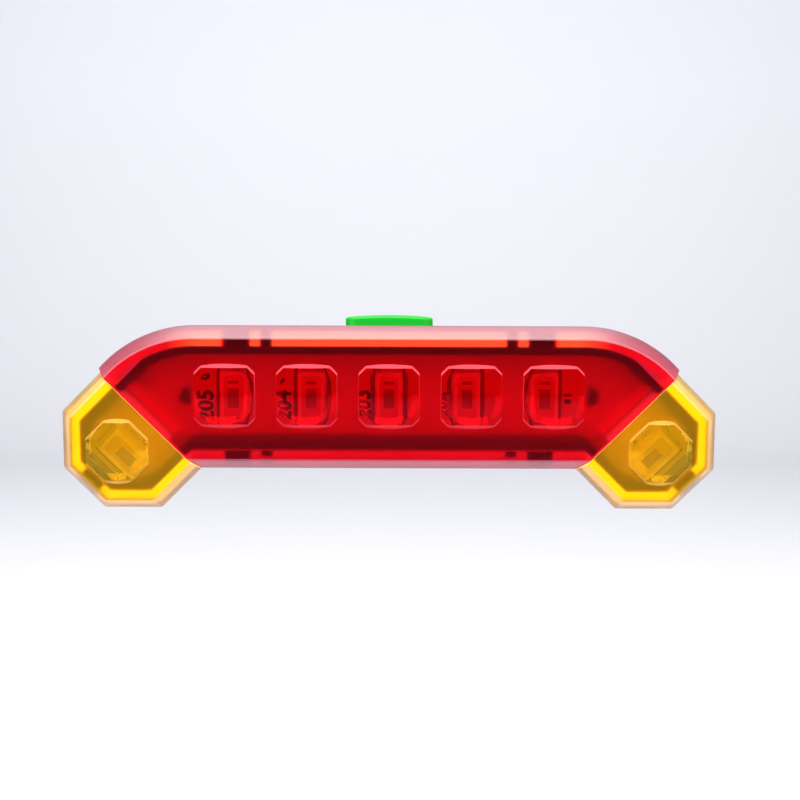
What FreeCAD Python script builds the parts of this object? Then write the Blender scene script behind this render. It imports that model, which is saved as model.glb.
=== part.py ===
import FreeCAD, Part
import math
import os

# Rear light for a bicycle seat post, in millimetres.
# Z is up along the post, whose axis is the Z axis, and the lens looks along -Y.
# A long red lens is welded to two amber corner lenses on 45 degree seams. The three
# snap as one lid over a black tub that holds the board, the cell, the switch and the
# charging socket. A rubber pad and a pinned strap hold the tub against the post.

# The seat post and what bears on it
post_radius = 13.6
pad_thickness = 2.2
pad_height = 14.0
pad_half_angle = 50.0
pad_rib_depth = 0.5
pad_rib_width = 1.1
pad_rib_count = 4
pad_gap = 0.02
saddle_web = 1.7
saddle_height = 15.4
saddle_flank = 1.3
saddle_edge_radius = 1.2

# Outline of the red lens, seen from the front
body_top = 12.9
body_bottom = -12.8
shoulder_x = 34.5
shoulder_radius = 23.2

# Octagon of an amber lens
pod_from_shoulder = 11.6
pod_across = 24.8
rim_corner_radius = 1.0
front_corner_radius = 0.6

# Section through the lenses, as depths behind their front faces
bevel_inset = 1.9
bevel_depth = 3.3
flange_depth = 3.7
plate_thickness = 2.0
skirt_inset = 1.9
skirt_wall = 1.6
skirt_depth = 8.0
partition_wall = 1.6
partition_margin = 0.2
partition_board_gap = 0.3
seam_gap = 0.05

# Raised windows in front of the light sources
window_pitch = 14.48
window_count = 5
window_z = 0.3
window_width = 10.7
window_height = 10.8
window_chamfer = 1.9
window_rise = 1.2
window_edge = 0.45
window_arch = 0.3
window_dome_radius = 20.0
pod_window_across = 11.1
pod_window_shift = 2.85
magnifier_radius = 24.0
magnifier_bulge = 0.95
magnifier_margin = 0.2

# Tub
lamp_depth = 19.6
tub_clearance = 0.12
tub_wall = 1.5
tub_back_wall = 1.8
tub_rim_depth = 4.2
tub_taper_length = 3.4
tub_taper = 2.3
gasket_squeeze_gap = 0.2
gasket_width = 1.2

# Ribs on the back of the tub's corners
back_rib_count = 3
back_rib_pitch = 2.8
back_rib_width = 1.2
back_rib_length = 8.5
back_rib_height = 0.5
back_rib_draft = 0.3

# Snap hooks and locating ribs of the tub
clip_x = 27.2
clip_width = 4.4
clip_front = 4.3
clip_length = 2.4
clip_reach = 2.5
clip_slack = 0.35
pod_clip_width = 4.2
key_rib_front = 5.0
key_rib_reach = 0.45
locator_x = 21.9
locator_width = 1.8
locator_front = 5.0
locator_back = 14.2
locator_reach = 1.4
locator_slack = 0.15

# Board and what is soldered to it
board_front = 9.5
board_thickness = 1.6
board_clearance = 0.15
led_width = 3.0
led_length = 5.7
led_height = 0.9
led_drop = 0.8
pod_led_shift = 0.97
led_cup_margin = 0.4
led_cup_depth = 0.35
led_cup_spread = 0.3
led_cup_chamfer = 0.3
led_cup_floor_chamfer = 0.2
led_fill_drop = 0.05
screw_z = -0.4
screw_radius = 0.8
screw_head_radius = 1.6
screw_head_height = 0.9
screw_length = 6.0
screw_slot_width = 0.45
screw_slot_depth = 0.45
screw_hole_slack = 0.15
screw_boss_wall = 1.3
board_seat_gap = 0.05

# Small parts on the back of the board: centre in X and Z, size in X and Z, height.
# Leads are given as pitch and width.
controller_place = (12.05, 0.0)
controller_size = (4.9, 3.9, 1.5)
controller_leads = (1.27, 0.42)
controller_lead_count = 4
charger_place = (18.85, -2.4)
charger_size = (2.9, 1.6, 1.1)
charger_leads = (0.95, 0.4)
charger_lead_count = 3
lead_reach = 1.0
lead_height = 0.2
choke_place = (18.0, 3.6)
choke_size = (4.8, 4.8, 2.0)
choke_corner = 0.6
resistor_size = (1.25, 2.0, 0.55)
resistor_pitch = 1.9
resistor_row = (22.4, 3.0)
capacitor_size = (1.6, 3.2, 1.5)
capacitor_places = ((7.2, -4.6), (23.6, -2.0), (26.4, -2.0))
indicator_size = (1.6, 0.8, 0.6)

# Push button, its collar and the switch under it
button_length = 16.1
button_width = 4.2
button_depth = 12.9
button_ends_z = 13.7
button_crown = 0.4
button_clearance = 0.2
button_edge_radius = 0.4
button_flange = 0.5
button_flange_thickness = 0.8
button_flange_gap = 0.1
button_travel = 0.35
button_stem_length = 5.0
button_stem_width = 2.2
button_stem_room = 0.9
collar_top = 12.05
collar_half_length = 9.4
collar_wall = 1.0
collar_lip = 0.9
collar_edge_radius = 0.5
seal_thickness = 0.55
seal_gap = 0.02
seal_slot_slack = 0.15
switch_length = 6.0
switch_height = 3.4
switch_depth = 3.4
switch_top_gap = 0.35
plunger_length = 2.6
plunger_width = 1.4
plunger_rise = 0.8
plunger_root = 1.2
plunger_slack = 0.06
plunger_gap = 0.06

# Charging socket and its rubber cover
socket_width = 7.5
socket_thickness = 2.6
socket_length = 5.2
socket_shell = 0.3
socket_back = 1.2
socket_recess = 0.2
socket_corner_radius = 0.6
tongue_width = 3.6
tongue_thickness = 0.6
tongue_length = 3.4
port_slack = 0.25
cover_length = 13.2
cover_width = 5.4
cover_thickness = 1.3
cover_corner_radius = 1.2
cover_edge_radius = 0.35
cover_lip_radius = 0.7
cover_lip_length = 2.4
cover_plug_depth = 0.9
cover_plug_slack = 0.3
cover_seat_gap = 0.1
cover_anchor_length = 3.2
cover_hinge_gap = 0.3
cover_hinge_relief = 0.45

# Cell and its parts
cell_length = 26.0
cell_height = 12.0
cell_front_gap = 1.1
cell_boss_gap = 1.0
cell_socket_gap = 1.25
cell_back_gap = 0.8
cell_edge_radius = 1.2
cell_pad_margin = 2.0
guard_board_length = 1.0
guard_board_height = 9.0
guard_board_margin = 0.5
tab_width = 2.2
tab_thickness = 0.2
tab_spacing = 5.0
tab_foot = 1.6
tab_top_gap = 1.0

# Strap, its pin and its hook
strap_thickness = 2.2
strap_width = 14.0
strap_eye_width = 9.0
strap_end_x = 31.0
strap_end_radius = 3.0
strap_neck_length = 1.2
strap_elbow_radius = 1.2
strap_hole_length = 3.8
strap_hole_width = 6.8
strap_hole_pitch = 6.2
strap_hole_count = 2
strap_grip_rib_count = 3
strap_grip_rib_height = 0.5
strap_grip_rib_width = 0.5
strap_grip_rib_pitch = 1.1
strap_grip_margin = 1.4
pin_radius = 1.1
pin_clearance = 0.05
eye_wall = 1.6
ear_thickness = 2.4
ear_gap = 0.25
ear_pin_slack = 0.02
hook_x = 20.0
hook_width = 6.0
hook_foot_length = 5.2
hook_foot_margin = 1.2
hook_stem = 2.0
hook_lip = 0.7
hook_lip_thickness = 1.0
hook_edge_radius = 0.35
hook_height_over_strap = 1.9
strap_seat_gap = 0.2
strap_back_gap = 0.5

# How far solids that are joined into one piece run into each other
bite = 0.2

ROOT2 = math.sqrt(2.0)
OCTAGON = math.tan(math.radians(22.5))

# Places that follow from the sizes above
front_y = -(post_radius + pad_thickness + saddle_web + lamp_depth)
back_y = front_y + lamp_depth
pod_x = shoulder_x + pod_from_shoulder
pod_z = body_bottom + pod_across / 2 * OCTAGON
seam_in_pod = -(pod_across / 2) * (1 - OCTAGON)
seam_level = pod_x - pod_z + seam_in_pod
tub_inset = skirt_inset + skirt_wall + tub_clearance
tub_inner_inset = tub_inset + tub_wall
board_inset = tub_inner_inset + board_clearance
board_back = board_front + board_thickness
tub_floor = lamp_depth - tub_back_wall
tub_taper_depth = lamp_depth - tub_taper_length
tub_top = body_top - tub_inset
tub_bottom = body_bottom + tub_inset
cell_end = -(socket_width / 2 + cell_socket_gap + tab_foot + guard_board_length)
cell_start = cell_end - cell_length
screw_x = -cell_start + cell_boss_gap + screw_radius + screw_boss_wall


def at(depth):
    """Y of a plane that lies this far behind the front face of the lenses."""
    return front_y + depth


def box(x_range, depth_range, z_range):
    """Block between two values of X, of depth and of Z."""
    x0, x1 = sorted(x_range)
    d0, d1 = sorted(depth_range)
    z0, z1 = sorted(z_range)
    corner = FreeCAD.Vector(x0, at(d0), z0)
    return Part.makeBox(x1 - x0, d1 - d0, z1 - z0, corner)


def block(x_range, y_range, z_range):
    """Block between two values of X, Y and Z."""
    x0, x1 = sorted(x_range)
    y0, y1 = sorted(y_range)
    z0, z1 = sorted(z_range)
    return Part.makeBox(x1 - x0, y1 - y0, z1 - z0, FreeCAD.Vector(x0, y0, z0))


def point(x, z, depth=0.0):
    return FreeCAD.Vector(x, at(depth), z)


def line(a, b):
    return Part.LineSegment(a, b).toShape()


def arc(a, middle, b):
    return Part.Arc(a, middle, b).toShape()


def rounded_polygon(corners, radii, depth):
    """Closed wire through corners given as (x, z), each with its own rounding radius."""
    count = len(corners)
    starts, middles, ends = [], [], []
    for i, (x, z) in enumerate(corners):
        here = FreeCAD.Vector(x, 0, z)
        before = FreeCAD.Vector(corners[i - 1][0], 0, corners[i - 1][1])
        after = FreeCAD.Vector(corners[(i + 1) % count][0], 0, corners[(i + 1) % count][1])
        to_before = (before - here).normalize()
        to_after = (after - here).normalize()
        half = to_before.getAngle(to_after) / 2
        reach = radii[i] / math.tan(half)
        bisector = (to_before + to_after).normalize()
        apex = radii[i] / math.sin(half) - radii[i]
        starts.append(here + to_before * reach)
        middles.append(here + bisector * apex)
        ends.append(here + to_after * reach)
    edges = []
    for i in range(count):
        if radii[i] > 0:
            edges.append(arc(starts[i], middles[i], ends[i]))
        edges.append(line(ends[i], starts[(i + 1) % count]))
    wire = Part.Wire(edges)
    wire.translate(FreeCAD.Vector(0, at(depth), 0))
    return wire


def polygon(corners, depth):
    points = [point(x, z, depth) for x, z in corners]
    return Part.makePolygon(points + points[:1])


def prism(wire, depth_from, depth_to):
    """Solid on a wire drawn at depth 0, between two depths."""
    face = Part.Face(wire)
    face.translate(FreeCAD.Vector(0, depth_from, 0))
    return face.extrude(FreeCAD.Vector(0, depth_to - depth_from, 0))


def stadium(length, width, centre_y, z_from, z_to):
    """Upright slab with two round ends, long in X."""
    half = (length - width) / 2
    radius = width / 2
    y0, y1 = centre_y - radius, centre_y + radius
    vector = FreeCAD.Vector
    edges = [
        line(vector(-half, y0, z_from), vector(half, y0, z_from)),
        arc(vector(half, y0, z_from), vector(half + radius, centre_y, z_from), vector(half, y1, z_from)),
        line(vector(half, y1, z_from), vector(-half, y1, z_from)),
        arc(vector(-half, y1, z_from), vector(-half - radius, centre_y, z_from), vector(-half, y0, z_from)),
    ]
    return Part.Face(Part.Wire(edges)).extrude(vector(0, 0, z_to - z_from))


def cylinder(radius, start, direction, length):
    return Part.makeCylinder(radius, length, FreeCAD.Vector(*start), FreeCAD.Vector(*direction))


def mirrored(shape):
    """The same shape on the other side of the lamp."""
    return shape.mirror(FreeCAD.Vector(0, 0, 0), FreeCAD.Vector(1, 0, 0))


def fused(shapes):
    result = shapes[0].multiFuse(shapes[1:]) if len(shapes) > 1 else shapes[0]
    return result.removeSplitter()


def arc_end_angle(radius, seam):
    """Angle from the vertical at which a shoulder arc meets the seam."""
    centre_z = body_top - shoulder_radius
    return math.pi / 4 + math.asin((seam - shoulder_x + centre_z) / (radius * ROOT2))


def on_shoulder(radius, angle):
    """X and Z on the right-hand shoulder arc, at an angle from the vertical."""
    centre_z = body_top - shoulder_radius
    return shoulder_x + radius * math.sin(angle), centre_z + radius * math.cos(angle)


def red_outline(inset, depth=0.0, seam_inset=0.0):
    """Outline of the red lens with every side moved in, and its seams moved in by themselves."""
    top = body_top - inset
    bottom = body_bottom + inset
    radius = shoulder_radius - inset
    seam = seam_level - seam_inset * ROOT2
    end_angle = arc_end_angle(radius, seam)
    middle_x, middle_z = on_shoulder(radius, end_angle / 2)
    end_x, end_z = on_shoulder(radius, end_angle)
    low_x = seam + bottom
    return Part.Wire([
        line(point(-low_x, bottom, depth), point(low_x, bottom, depth)),
        line(point(low_x, bottom, depth), point(end_x, end_z, depth)),
        arc(point(end_x, end_z, depth), point(middle_x, middle_z, depth), point(shoulder_x, top, depth)),
        line(point(shoulder_x, top, depth), point(-shoulder_x, top, depth)),
        arc(point(-shoulder_x, top, depth), point(-middle_x, middle_z, depth), point(-end_x, end_z, depth)),
        line(point(-end_x, end_z, depth), point(-low_x, bottom, depth)),
    ])


def pod_corners(inset):
    """Five octagon corners of the right-hand pod that lie away from the seam, from the top down."""
    a = pod_across / 2 - inset
    b = a * OCTAGON
    return [(pod_x + x, pod_z + z) for x, z in ((a, b), (a, -b), (b, -a), (-b, -a))]


def pod_outline(inset, corner_radius, depth=0.0, seam_inset=0.0):
    """Outline of the right-hand amber lens: an octagon cut square along the seam."""
    reach = (pod_across / 2 - inset) * ROOT2
    seam = seam_in_pod + seam_inset * ROOT2
    upper = (pod_x + (reach + seam) / 2, pod_z + (reach - seam) / 2)
    lower = (pod_x + (seam - reach) / 2, pod_z + (-reach - seam) / 2)
    corners = [upper] + pod_corners(inset) + [lower]
    radii = [0.0] + [corner_radius] * 4 + [0.0]
    return rounded_polygon(corners, radii, depth)


def body_outline(inset, depth=0.0):
    """One outline round all three lenses, for the tub, the gasket and the board."""
    radius = shoulder_radius - inset
    reach = (pod_across / 2 - inset) * ROOT2
    centre_z = body_top - shoulder_radius
    to_flank = (pod_x + pod_z + reach - shoulder_x - centre_z) / ROOT2
    join_angle = math.pi / 4 - math.acos(min(1.0, to_flank / radius))
    join_x, join_z = on_shoulder(radius, join_angle)
    middle_x, middle_z = on_shoulder(radius, join_angle / 2)
    bottom = body_bottom + inset
    low_x = pod_x - reach - (bottom - pod_z)
    right = [(low_x, bottom)] + pod_corners(inset)[::-1] + [(join_x, join_z)]
    edges = []
    for side in (1, -1):
        for (x0, z0), (x1, z1) in zip(right, right[1:]):
            edges.append(line(point(side * x0, z0, depth), point(side * x1, z1, depth)))
        edges.append(arc(
            point(side * join_x, join_z, depth),
            point(side * middle_x, middle_z, depth),
            point(side * shoulder_x, body_top - inset, depth),
        ))
    top = body_top - inset
    edges.append(line(point(-low_x, bottom, depth), point(low_x, bottom, depth)))
    edges.append(line(point(shoulder_x, top, depth), point(-shoulder_x, top, depth)))
    return Part.Wire(Part.__sortEdges__(edges))


def window_corners(width, height, chamfer, centre_x, centre_z):
    """Eight corners of a rectangle with its corners cut off."""
    w, h = width / 2, height / 2
    corners = [
        (w - chamfer, h), (w, h - chamfer), (w, chamfer - h), (w - chamfer, -h),
        (chamfer - w, -h), (-w, chamfer - h), (-w, h - chamfer), (chamfer - w, h),
    ]
    return [(centre_x + x, centre_z + z) for x, z in corners]


def arched_polygon(corners, arch, depth):
    """Window outline whose upper and lower edges bow outwards by the arch."""
    edges = []
    count = len(corners)
    for i in range(count):
        (x0, z0), (x1, z1) = corners[i], corners[(i + 1) % count]
        ends = point(x0, z0, depth), point(x1, z1, depth)
        level = abs(z1 - z0) < abs(x1 - x0) / 2
        if arch and level:
            bow = arch if x1 > x0 else -arch
            edges.append(arc(ends[0], point((x0 + x1) / 2, z0 + bow, depth), ends[1]))
        else:
            edges.append(line(*ends))
    return Part.Wire(edges)


def window_pad(width, height, chamfer, centre_x, centre_z):
    """Raised window: sloping edges under a domed face, and a magnifier on the inside."""
    slope = window_edge / window_rise
    base = window_corners(
        width + 2 * bite * slope, height + 2 * bite * slope, chamfer, centre_x, centre_z)
    crest = window_rise + bite
    top = window_corners(
        width - 2 * crest * slope, height - 2 * crest * slope, chamfer, centre_x, centre_z)
    arch = window_arch * (crest + bite) / crest
    pad = Part.makeLoft([arched_polygon(base, arch, bite), arched_polygon(top, 0, -crest)], True, True)
    dome_depth = window_dome_radius - window_rise
    dome = Part.makeSphere(window_dome_radius, FreeCAD.Vector(centre_x, at(dome_depth), centre_z))
    pad = pad.common(dome)
    ball_depth = plate_thickness + magnifier_bulge - magnifier_radius
    ball = Part.makeSphere(magnifier_radius, FreeCAD.Vector(centre_x, at(ball_depth), centre_z))
    keep = prism(
        body_outline(board_inset + magnifier_margin), plate_thickness - bite,
        plate_thickness + magnifier_bulge + bite)
    return pad, ball.common(keep)


def pod_window_centre():
    shift = pod_window_shift / ROOT2
    return pod_x + shift, pod_z - shift


def clip_cutters(growth):
    """The right-hand snap hooks as blocks, grown to make the windows that they enter."""
    half = clip_width / 2 + growth
    depths = (clip_front - growth, clip_front + clip_length + growth)
    outward = clip_reach + growth
    top = box((clip_x - half, clip_x + half), depths, (tub_top - tub_wall / 2, tub_top + outward))
    bottom = box(
        (clip_x - half, clip_x + half), depths, (tub_bottom + tub_wall / 2, tub_bottom - outward))
    flank = pod_across / 2 - tub_inset
    half_pod = pod_clip_width / 2 + growth
    corner = box((flank - tub_wall / 2, flank + outward), depths, (-half_pod, half_pod))
    corner.rotate(FreeCAD.Vector(0, 0, 0), FreeCAD.Vector(0, 1, 0), 45)
    corner.translate(FreeCAD.Vector(pod_x, 0, pod_z))
    return [top, bottom, corner]


def clip_hooks():
    """Snap hooks with a lead-in slope on the front, where the skirt rides over them."""
    wedge_depth = clip_length * 0.6
    hooks = []
    flank = pod_across / 2 - tub_inset
    places = (
        (clip_x, tub_top, 0.0, clip_width, 90),
        (clip_x, tub_bottom, 0.0, clip_width, -90),
        (pod_x, pod_z, flank, pod_clip_width, -45),
    )
    for x, z, offset, width, turn in places:
        root = offset - tub_wall / 2
        tip = offset + clip_reach
        profile = [
            FreeCAD.Vector(root, at(clip_front), 0),
            FreeCAD.Vector(tip - wedge_depth / 2, at(clip_front), 0),
            FreeCAD.Vector(tip, at(clip_front + wedge_depth), 0),
            FreeCAD.Vector(tip, at(clip_front + clip_length), 0),
            FreeCAD.Vector(root, at(clip_front + clip_length), 0),
        ]
        face = Part.Face(Part.makePolygon(profile + profile[:1]))
        hook = face.extrude(FreeCAD.Vector(0, 0, width))
        hook.translate(FreeCAD.Vector(0, 0, -width / 2))
        hook.rotate(FreeCAD.Vector(0, 0, 0), FreeCAD.Vector(0, 1, 0), -turn)
        hook.translate(FreeCAD.Vector(x, 0, z))
        hooks.append(hook)
    return hooks


def locators(growth):
    """Right-hand ribs of the tub that run in slots of the skirt."""
    half = locator_width / 2 + growth
    depths = (locator_front - growth, locator_back)
    top = box(
        (locator_x - half, locator_x + half), depths,
        (tub_top - tub_wall / 2, tub_top + locator_reach + growth))
    bottom = box(
        (locator_x - half, locator_x + half), depths,
        (tub_bottom + tub_wall / 2, tub_bottom - locator_reach - growth))
    return [top, bottom]


def bevelled_plate(outline):
    """Front plate and flange from a function that gives the outline at an inset and a depth."""
    bevel = Part.makeLoft([outline(bevel_inset, 0.0), outline(0.0, bevel_depth)], True, True)
    flange = prism(outline(0.0, 0.0), bevel_depth, flange_depth)
    return bevel.fuse(flange)


def tub_room():
    """Space inside the skirts that the tub and the gasket need where the lenses meet."""
    return prism(body_outline(skirt_inset + skirt_wall), plate_thickness, skirt_depth + 1)


def make_red_lens():
    plate = bevelled_plate(lambda inset, depth: red_outline(inset, depth))
    skirt = prism(red_outline(skirt_inset), flange_depth - bite, skirt_depth)
    inner = skirt_inset + skirt_wall
    hollow = prism(red_outline(inner), plate_thickness, skirt_depth + 1)
    lens = plate.fuse(skirt).cut(hollow).cut(tub_room())
    band = prism(red_outline(inner), plate_thickness - bite, board_front - partition_board_gap)
    band = band.cut(prism(red_outline(inner, 0.0, partition_wall), 0.0, board_front))
    band = band.common(prism(body_outline(board_inset + partition_margin), 0.0, board_front))
    solids = [lens, band]
    first = -(window_count - 1) / 2
    for i in range(window_count):
        x = (first + i) * window_pitch
        solids += window_pad(window_width, window_height, window_chamfer, x, window_z)
    lens = fused(solids)
    cutters = clip_cutters(clip_slack)[:2] + locators(locator_slack)
    return lens.cut(Part.Compound(cutters + [mirrored(c) for c in cutters]))


def make_amber_lens():
    """Right-hand amber lens."""
    def outline(inset, depth):
        share = inset / bevel_inset
        radius = rim_corner_radius + share * (front_corner_radius - rim_corner_radius)
        return pod_outline(inset, radius, depth, seam_gap)

    plate = bevelled_plate(outline)
    inner_radius = front_corner_radius / 2
    skirt = prism(
        pod_outline(skirt_inset, front_corner_radius, 0.0, seam_gap), flange_depth - bite, skirt_depth)
    hollow = prism(
        pod_outline(skirt_inset + skirt_wall, inner_radius), plate_thickness, skirt_depth + 1)
    x, z = pod_window_centre()
    pads = window_pad(
        pod_window_across, pod_window_across, pod_window_across * (1 - OCTAGON) / 2, x, z)
    lens = fused([plate.fuse(skirt).cut(hollow).cut(tub_room())] + list(pads))
    return lens.cut(clip_cutters(clip_slack)[2])


def make_gasket():
    middle = tub_inset + (tub_wall - gasket_width) / 2
    ring = prism(body_outline(middle), plate_thickness + gasket_squeeze_gap, tub_rim_depth)
    bore = prism(body_outline(middle + gasket_width), 0.0, lamp_depth)
    return ring.cut(bore)


def tub_shell():
    """Open tub with a tapered back."""
    straight = prism(body_outline(tub_inset), tub_rim_depth, tub_taper_depth)
    taper = Part.makeLoft(
        [body_outline(tub_inset, tub_taper_depth), body_outline(tub_inset + tub_taper, lamp_depth)],
        True, True)
    slope = tub_taper / (lamp_depth - tub_taper_depth)
    floor_inset = tub_inner_inset + slope * (tub_floor - tub_taper_depth)
    hollow = prism(body_outline(tub_inner_inset), 0.0, tub_taper_depth)
    bottom = Part.makeLoft(
        [body_outline(tub_inner_inset, tub_taper_depth), body_outline(floor_inset, tub_floor)],
        True, True)
    return straight.fuse(taper).removeSplitter().cut(hollow.fuse(bottom).removeSplitter())


def screw_places():
    return [(-screw_x, screw_z), (screw_x, screw_z)]


def board_bosses():
    bosses = []
    for x, z in screw_places():
        boss = cylinder(
            screw_radius + screw_boss_wall, (x, at(board_back + board_seat_gap), z), (0, 1, 0),
            tub_floor - board_back)
        bosses.append(boss)
    return bosses


def board_holes(radius):
    return [cylinder(radius, (x, at(board_front - 2), z), (0, 1, 0), screw_length + 2.0)
            for x, z in screw_places()]


def button_centre_y():
    return at(button_depth)


def make_collar():
    """Raised collar that guides the push button, open below into the tub."""
    y = button_centre_y()
    cavity_length = button_length + 2 * (button_flange + button_clearance)
    cavity_width = button_width + 2 * (button_flange + button_clearance)
    width = cavity_width + 2 * collar_wall
    outer = stadium(2 * collar_half_length, width, y, tub_top - tub_wall / 2, collar_top)
    outer = outer.makeFillet(
        collar_edge_radius, [e for e in outer.Edges if e.BoundBox.ZMin > collar_top - 0.01])
    cavity = stadium(cavity_length, cavity_width, y, tub_top, collar_top - collar_lip)
    mouth = stadium(
        button_length + 2 * button_clearance, button_width + 2 * button_clearance, y,
        tub_top, collar_top + 1)
    room = 2 * button_stem_room
    well = stadium(
        button_stem_length + room, button_stem_width + room, y, tub_top - tub_wall - 1, tub_top + bite)
    return outer, fused([cavity, mouth, well])


def make_saddle():
    """Block behind the tub, hollowed to carry the pad, with ears for the pin and the hook."""
    seat_radius = post_radius + pad_thickness
    half_angle = math.radians(pad_half_angle)
    half_width = seat_radius * math.sin(half_angle) + saddle_flank / 2
    wing_y = -seat_radius * math.cos(half_angle)
    z = saddle_height / 2
    saddle = block((-half_width, half_width), (back_y - bite, wing_y), (-z, z))
    saddle = saddle.makeFillet(saddle_edge_radius, [
        e for e in saddle.Edges
        if abs(e.BoundBox.XLength - 2 * half_width) < 0.01 and e.BoundBox.YMin > back_y
    ])
    seat = cylinder(seat_radius, (0, 0, -saddle_height), (0, 0, 1), 2 * saddle_height)
    return saddle.cut(seat)


def strap_front_y():
    """Front face of the strap's flat end, which lies over the hook's foot."""
    return back_y + strap_back_gap


def make_hook():
    """Foot, stem and lip that the free end of the strap drops over."""
    foot_y = strap_front_y() - strap_seat_gap
    tip_y = strap_front_y() + strap_thickness + hook_height_over_strap
    z = hook_width / 2
    half_foot = hook_foot_length / 2
    foot = block(
        (hook_x - half_foot, hook_x + half_foot), (back_y - bite, foot_y),
        (-z - hook_foot_margin, z + hook_foot_margin))
    stem = block((hook_x - hook_stem / 2, hook_x + hook_stem / 2), (foot_y - bite, tip_y), (-z, z))
    lip = block(
        (hook_x, hook_x + hook_stem / 2 + hook_lip), (tip_y - hook_lip_thickness, tip_y), (-z, z))
    hook = fused([foot, stem, lip])
    edges = [e for e in hook.Edges if e.BoundBox.YMin > tip_y - 0.01 and e.BoundBox.XLength < 0.01]
    return hook.makeFillet(hook_edge_radius, edges)


def pin_place():
    """X and Y of the strap's pin."""
    eye_radius = pin_radius + pin_clearance + eye_wall
    return -(post_radius + eye_radius), strap_front_y() + eye_radius - strap_seat_gap


def make_ears():
    """Two ears that hold the pin, one above and one below the strap's eye."""
    x, y = pin_place()
    radius = pin_radius + eye_wall
    ears = []
    for side in (1, -1):
        z0 = side * (strap_eye_width / 2 + ear_gap)
        z1 = z0 + side * ear_thickness
        low, high = sorted((z0, z1))
        knob = cylinder(radius, (x, y, low), (0, 0, 1), high - low)
        foot = block((x - radius, x + radius), (back_y - bite, y), (low, high))
        ear = knob.fuse(foot)
        hole_radius = pin_radius + ear_pin_slack
        ear = ear.cut(cylinder(hole_radius, (x, y, low - 1), (0, 0, 1), ear_thickness + 2))
        ears.append(ear)
    return ears


def port_place():
    """Depth of the charging socket's middle, which sits on the back of the board."""
    return board_back + socket_thickness / 2


def port_cut():
    half = socket_width / 2 + port_slack
    middle = port_place()
    reach = socket_thickness / 2 + port_slack
    return box((-half, half), (middle - reach, middle + reach), (tub_bottom - 2, tub_bottom + tub_wall + 1))


def key_rib(growth):
    """Right-hand rib that stiffens the tub's wall behind the corner hook and keys the board."""
    wall = pod_across / 2 - tub_inset
    half = pod_clip_width / 2 + growth
    reach = wall - tub_wall - key_rib_reach - growth
    rib = box((reach, wall - tub_wall / 2), (key_rib_front, board_back), (-half, half))
    return placed(rib, pod_x, pod_z, 45)


def back_ribs():
    """Right-hand row of raised ribs on the back, parallel to the seam of the lenses."""
    ribs = []
    first = -(back_rib_count - 1) / 2
    half_width, half_length = back_rib_width / 2, back_rib_length / 2
    for i in range(back_rib_count):
        middle = (first + i) * back_rib_pitch
        sections = []
        for inset, depth in ((0.0, lamp_depth - bite), (back_rib_draft, lamp_depth + back_rib_height)):
            w, l = half_width - inset, half_length - inset
            corners = [(middle - w, -l), (middle + w, -l), (middle + w, l), (middle - w, l)]
            sections.append(polygon(corners, depth))
        ribs.append(placed(Part.makeLoft(sections, True, True), pod_x, pod_z, -45))
    return ribs


def make_rear_housing():
    collar, collar_hollow = make_collar()
    hooks = clip_hooks() + locators(0.0) + [key_rib(0.0)] + back_ribs()
    pieces = [tub_shell(), collar, make_saddle(), make_hook()] + make_ears() + board_bosses()
    pieces += hooks + [mirrored(h) for h in hooks]
    housing = fused(pieces)
    pilot = [cylinder(screw_radius, (x, at(board_back), z), (0, 1, 0), screw_length - board_thickness)
             for x, z in screw_places()]
    return housing.cut(Part.Compound([collar_hollow, port_cut()] + pilot))


def make_board():
    board = prism(body_outline(board_inset), board_front, board_back)
    holes = board_holes(screw_radius + screw_hole_slack)
    notch = key_rib(board_clearance)
    return board.cut(Part.Compound(holes + [notch, mirrored(notch)]))


def led_places():
    """Centre of each light source and how far it is turned, the red ones from left to right.

    They sit a little below the windows' axes, so that the beams tilt up to a driver's eyes.
    """
    first = -(window_count - 1) / 2
    row_z = window_z - led_drop
    places = {
        f"red_led_{i + 1}": ((first + i) * window_pitch, row_z, 0.0) for i in range(window_count)
    }
    x, z = pod_window_centre()
    x, z = x + pod_led_shift / ROOT2, z - led_drop - pod_led_shift / ROOT2
    places["amber_led_left"] = (-x, z, -45.0)
    places["amber_led_right"] = (x, z, 45.0)
    return places


def placed(shape, x, z, turn):
    """Shape built about the Y axis, turned about it and moved to its place."""
    shape.rotate(FreeCAD.Vector(0, 0, 0), FreeCAD.Vector(0, 1, 0), turn)
    shape.translate(FreeCAD.Vector(x, 0, z))
    return shape


def led_cup(margin, depth_from, depth_to):
    """Space of the reflector cup, with sloping sides."""
    width, length = led_width - 2 * margin, led_length - 2 * margin
    taper = 2 * led_cup_spread
    wide = window_corners(width, length, led_cup_chamfer, 0.0, 0.0)
    narrow = window_corners(width - taper, length - taper, led_cup_floor_chamfer, 0.0, 0.0)
    return Part.makeLoft([polygon(wide, depth_from), polygon(narrow, depth_to)], True, True)


def make_led(x, z, turn):
    top = board_front - led_height
    w, h = led_width / 2, led_length / 2
    body = box((-w, w), (top, board_front), (-h, h))
    body = body.cut(led_cup(led_cup_margin, top, top + led_cup_depth))
    return placed(body, x, z, turn)


def make_led_fills():
    """Clear resin in the cups of all the light sources."""
    top = board_front - led_height
    fills = []
    for x, z, turn in led_places().values():
        fill = led_cup(led_cup_margin, top, top + led_cup_depth)
        fill = fill.common(box((-5, 5), (top + led_fill_drop, board_front), (-5, 5)))
        fills.append(placed(fill, x, z, turn))
    return Part.Compound(fills)


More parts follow.
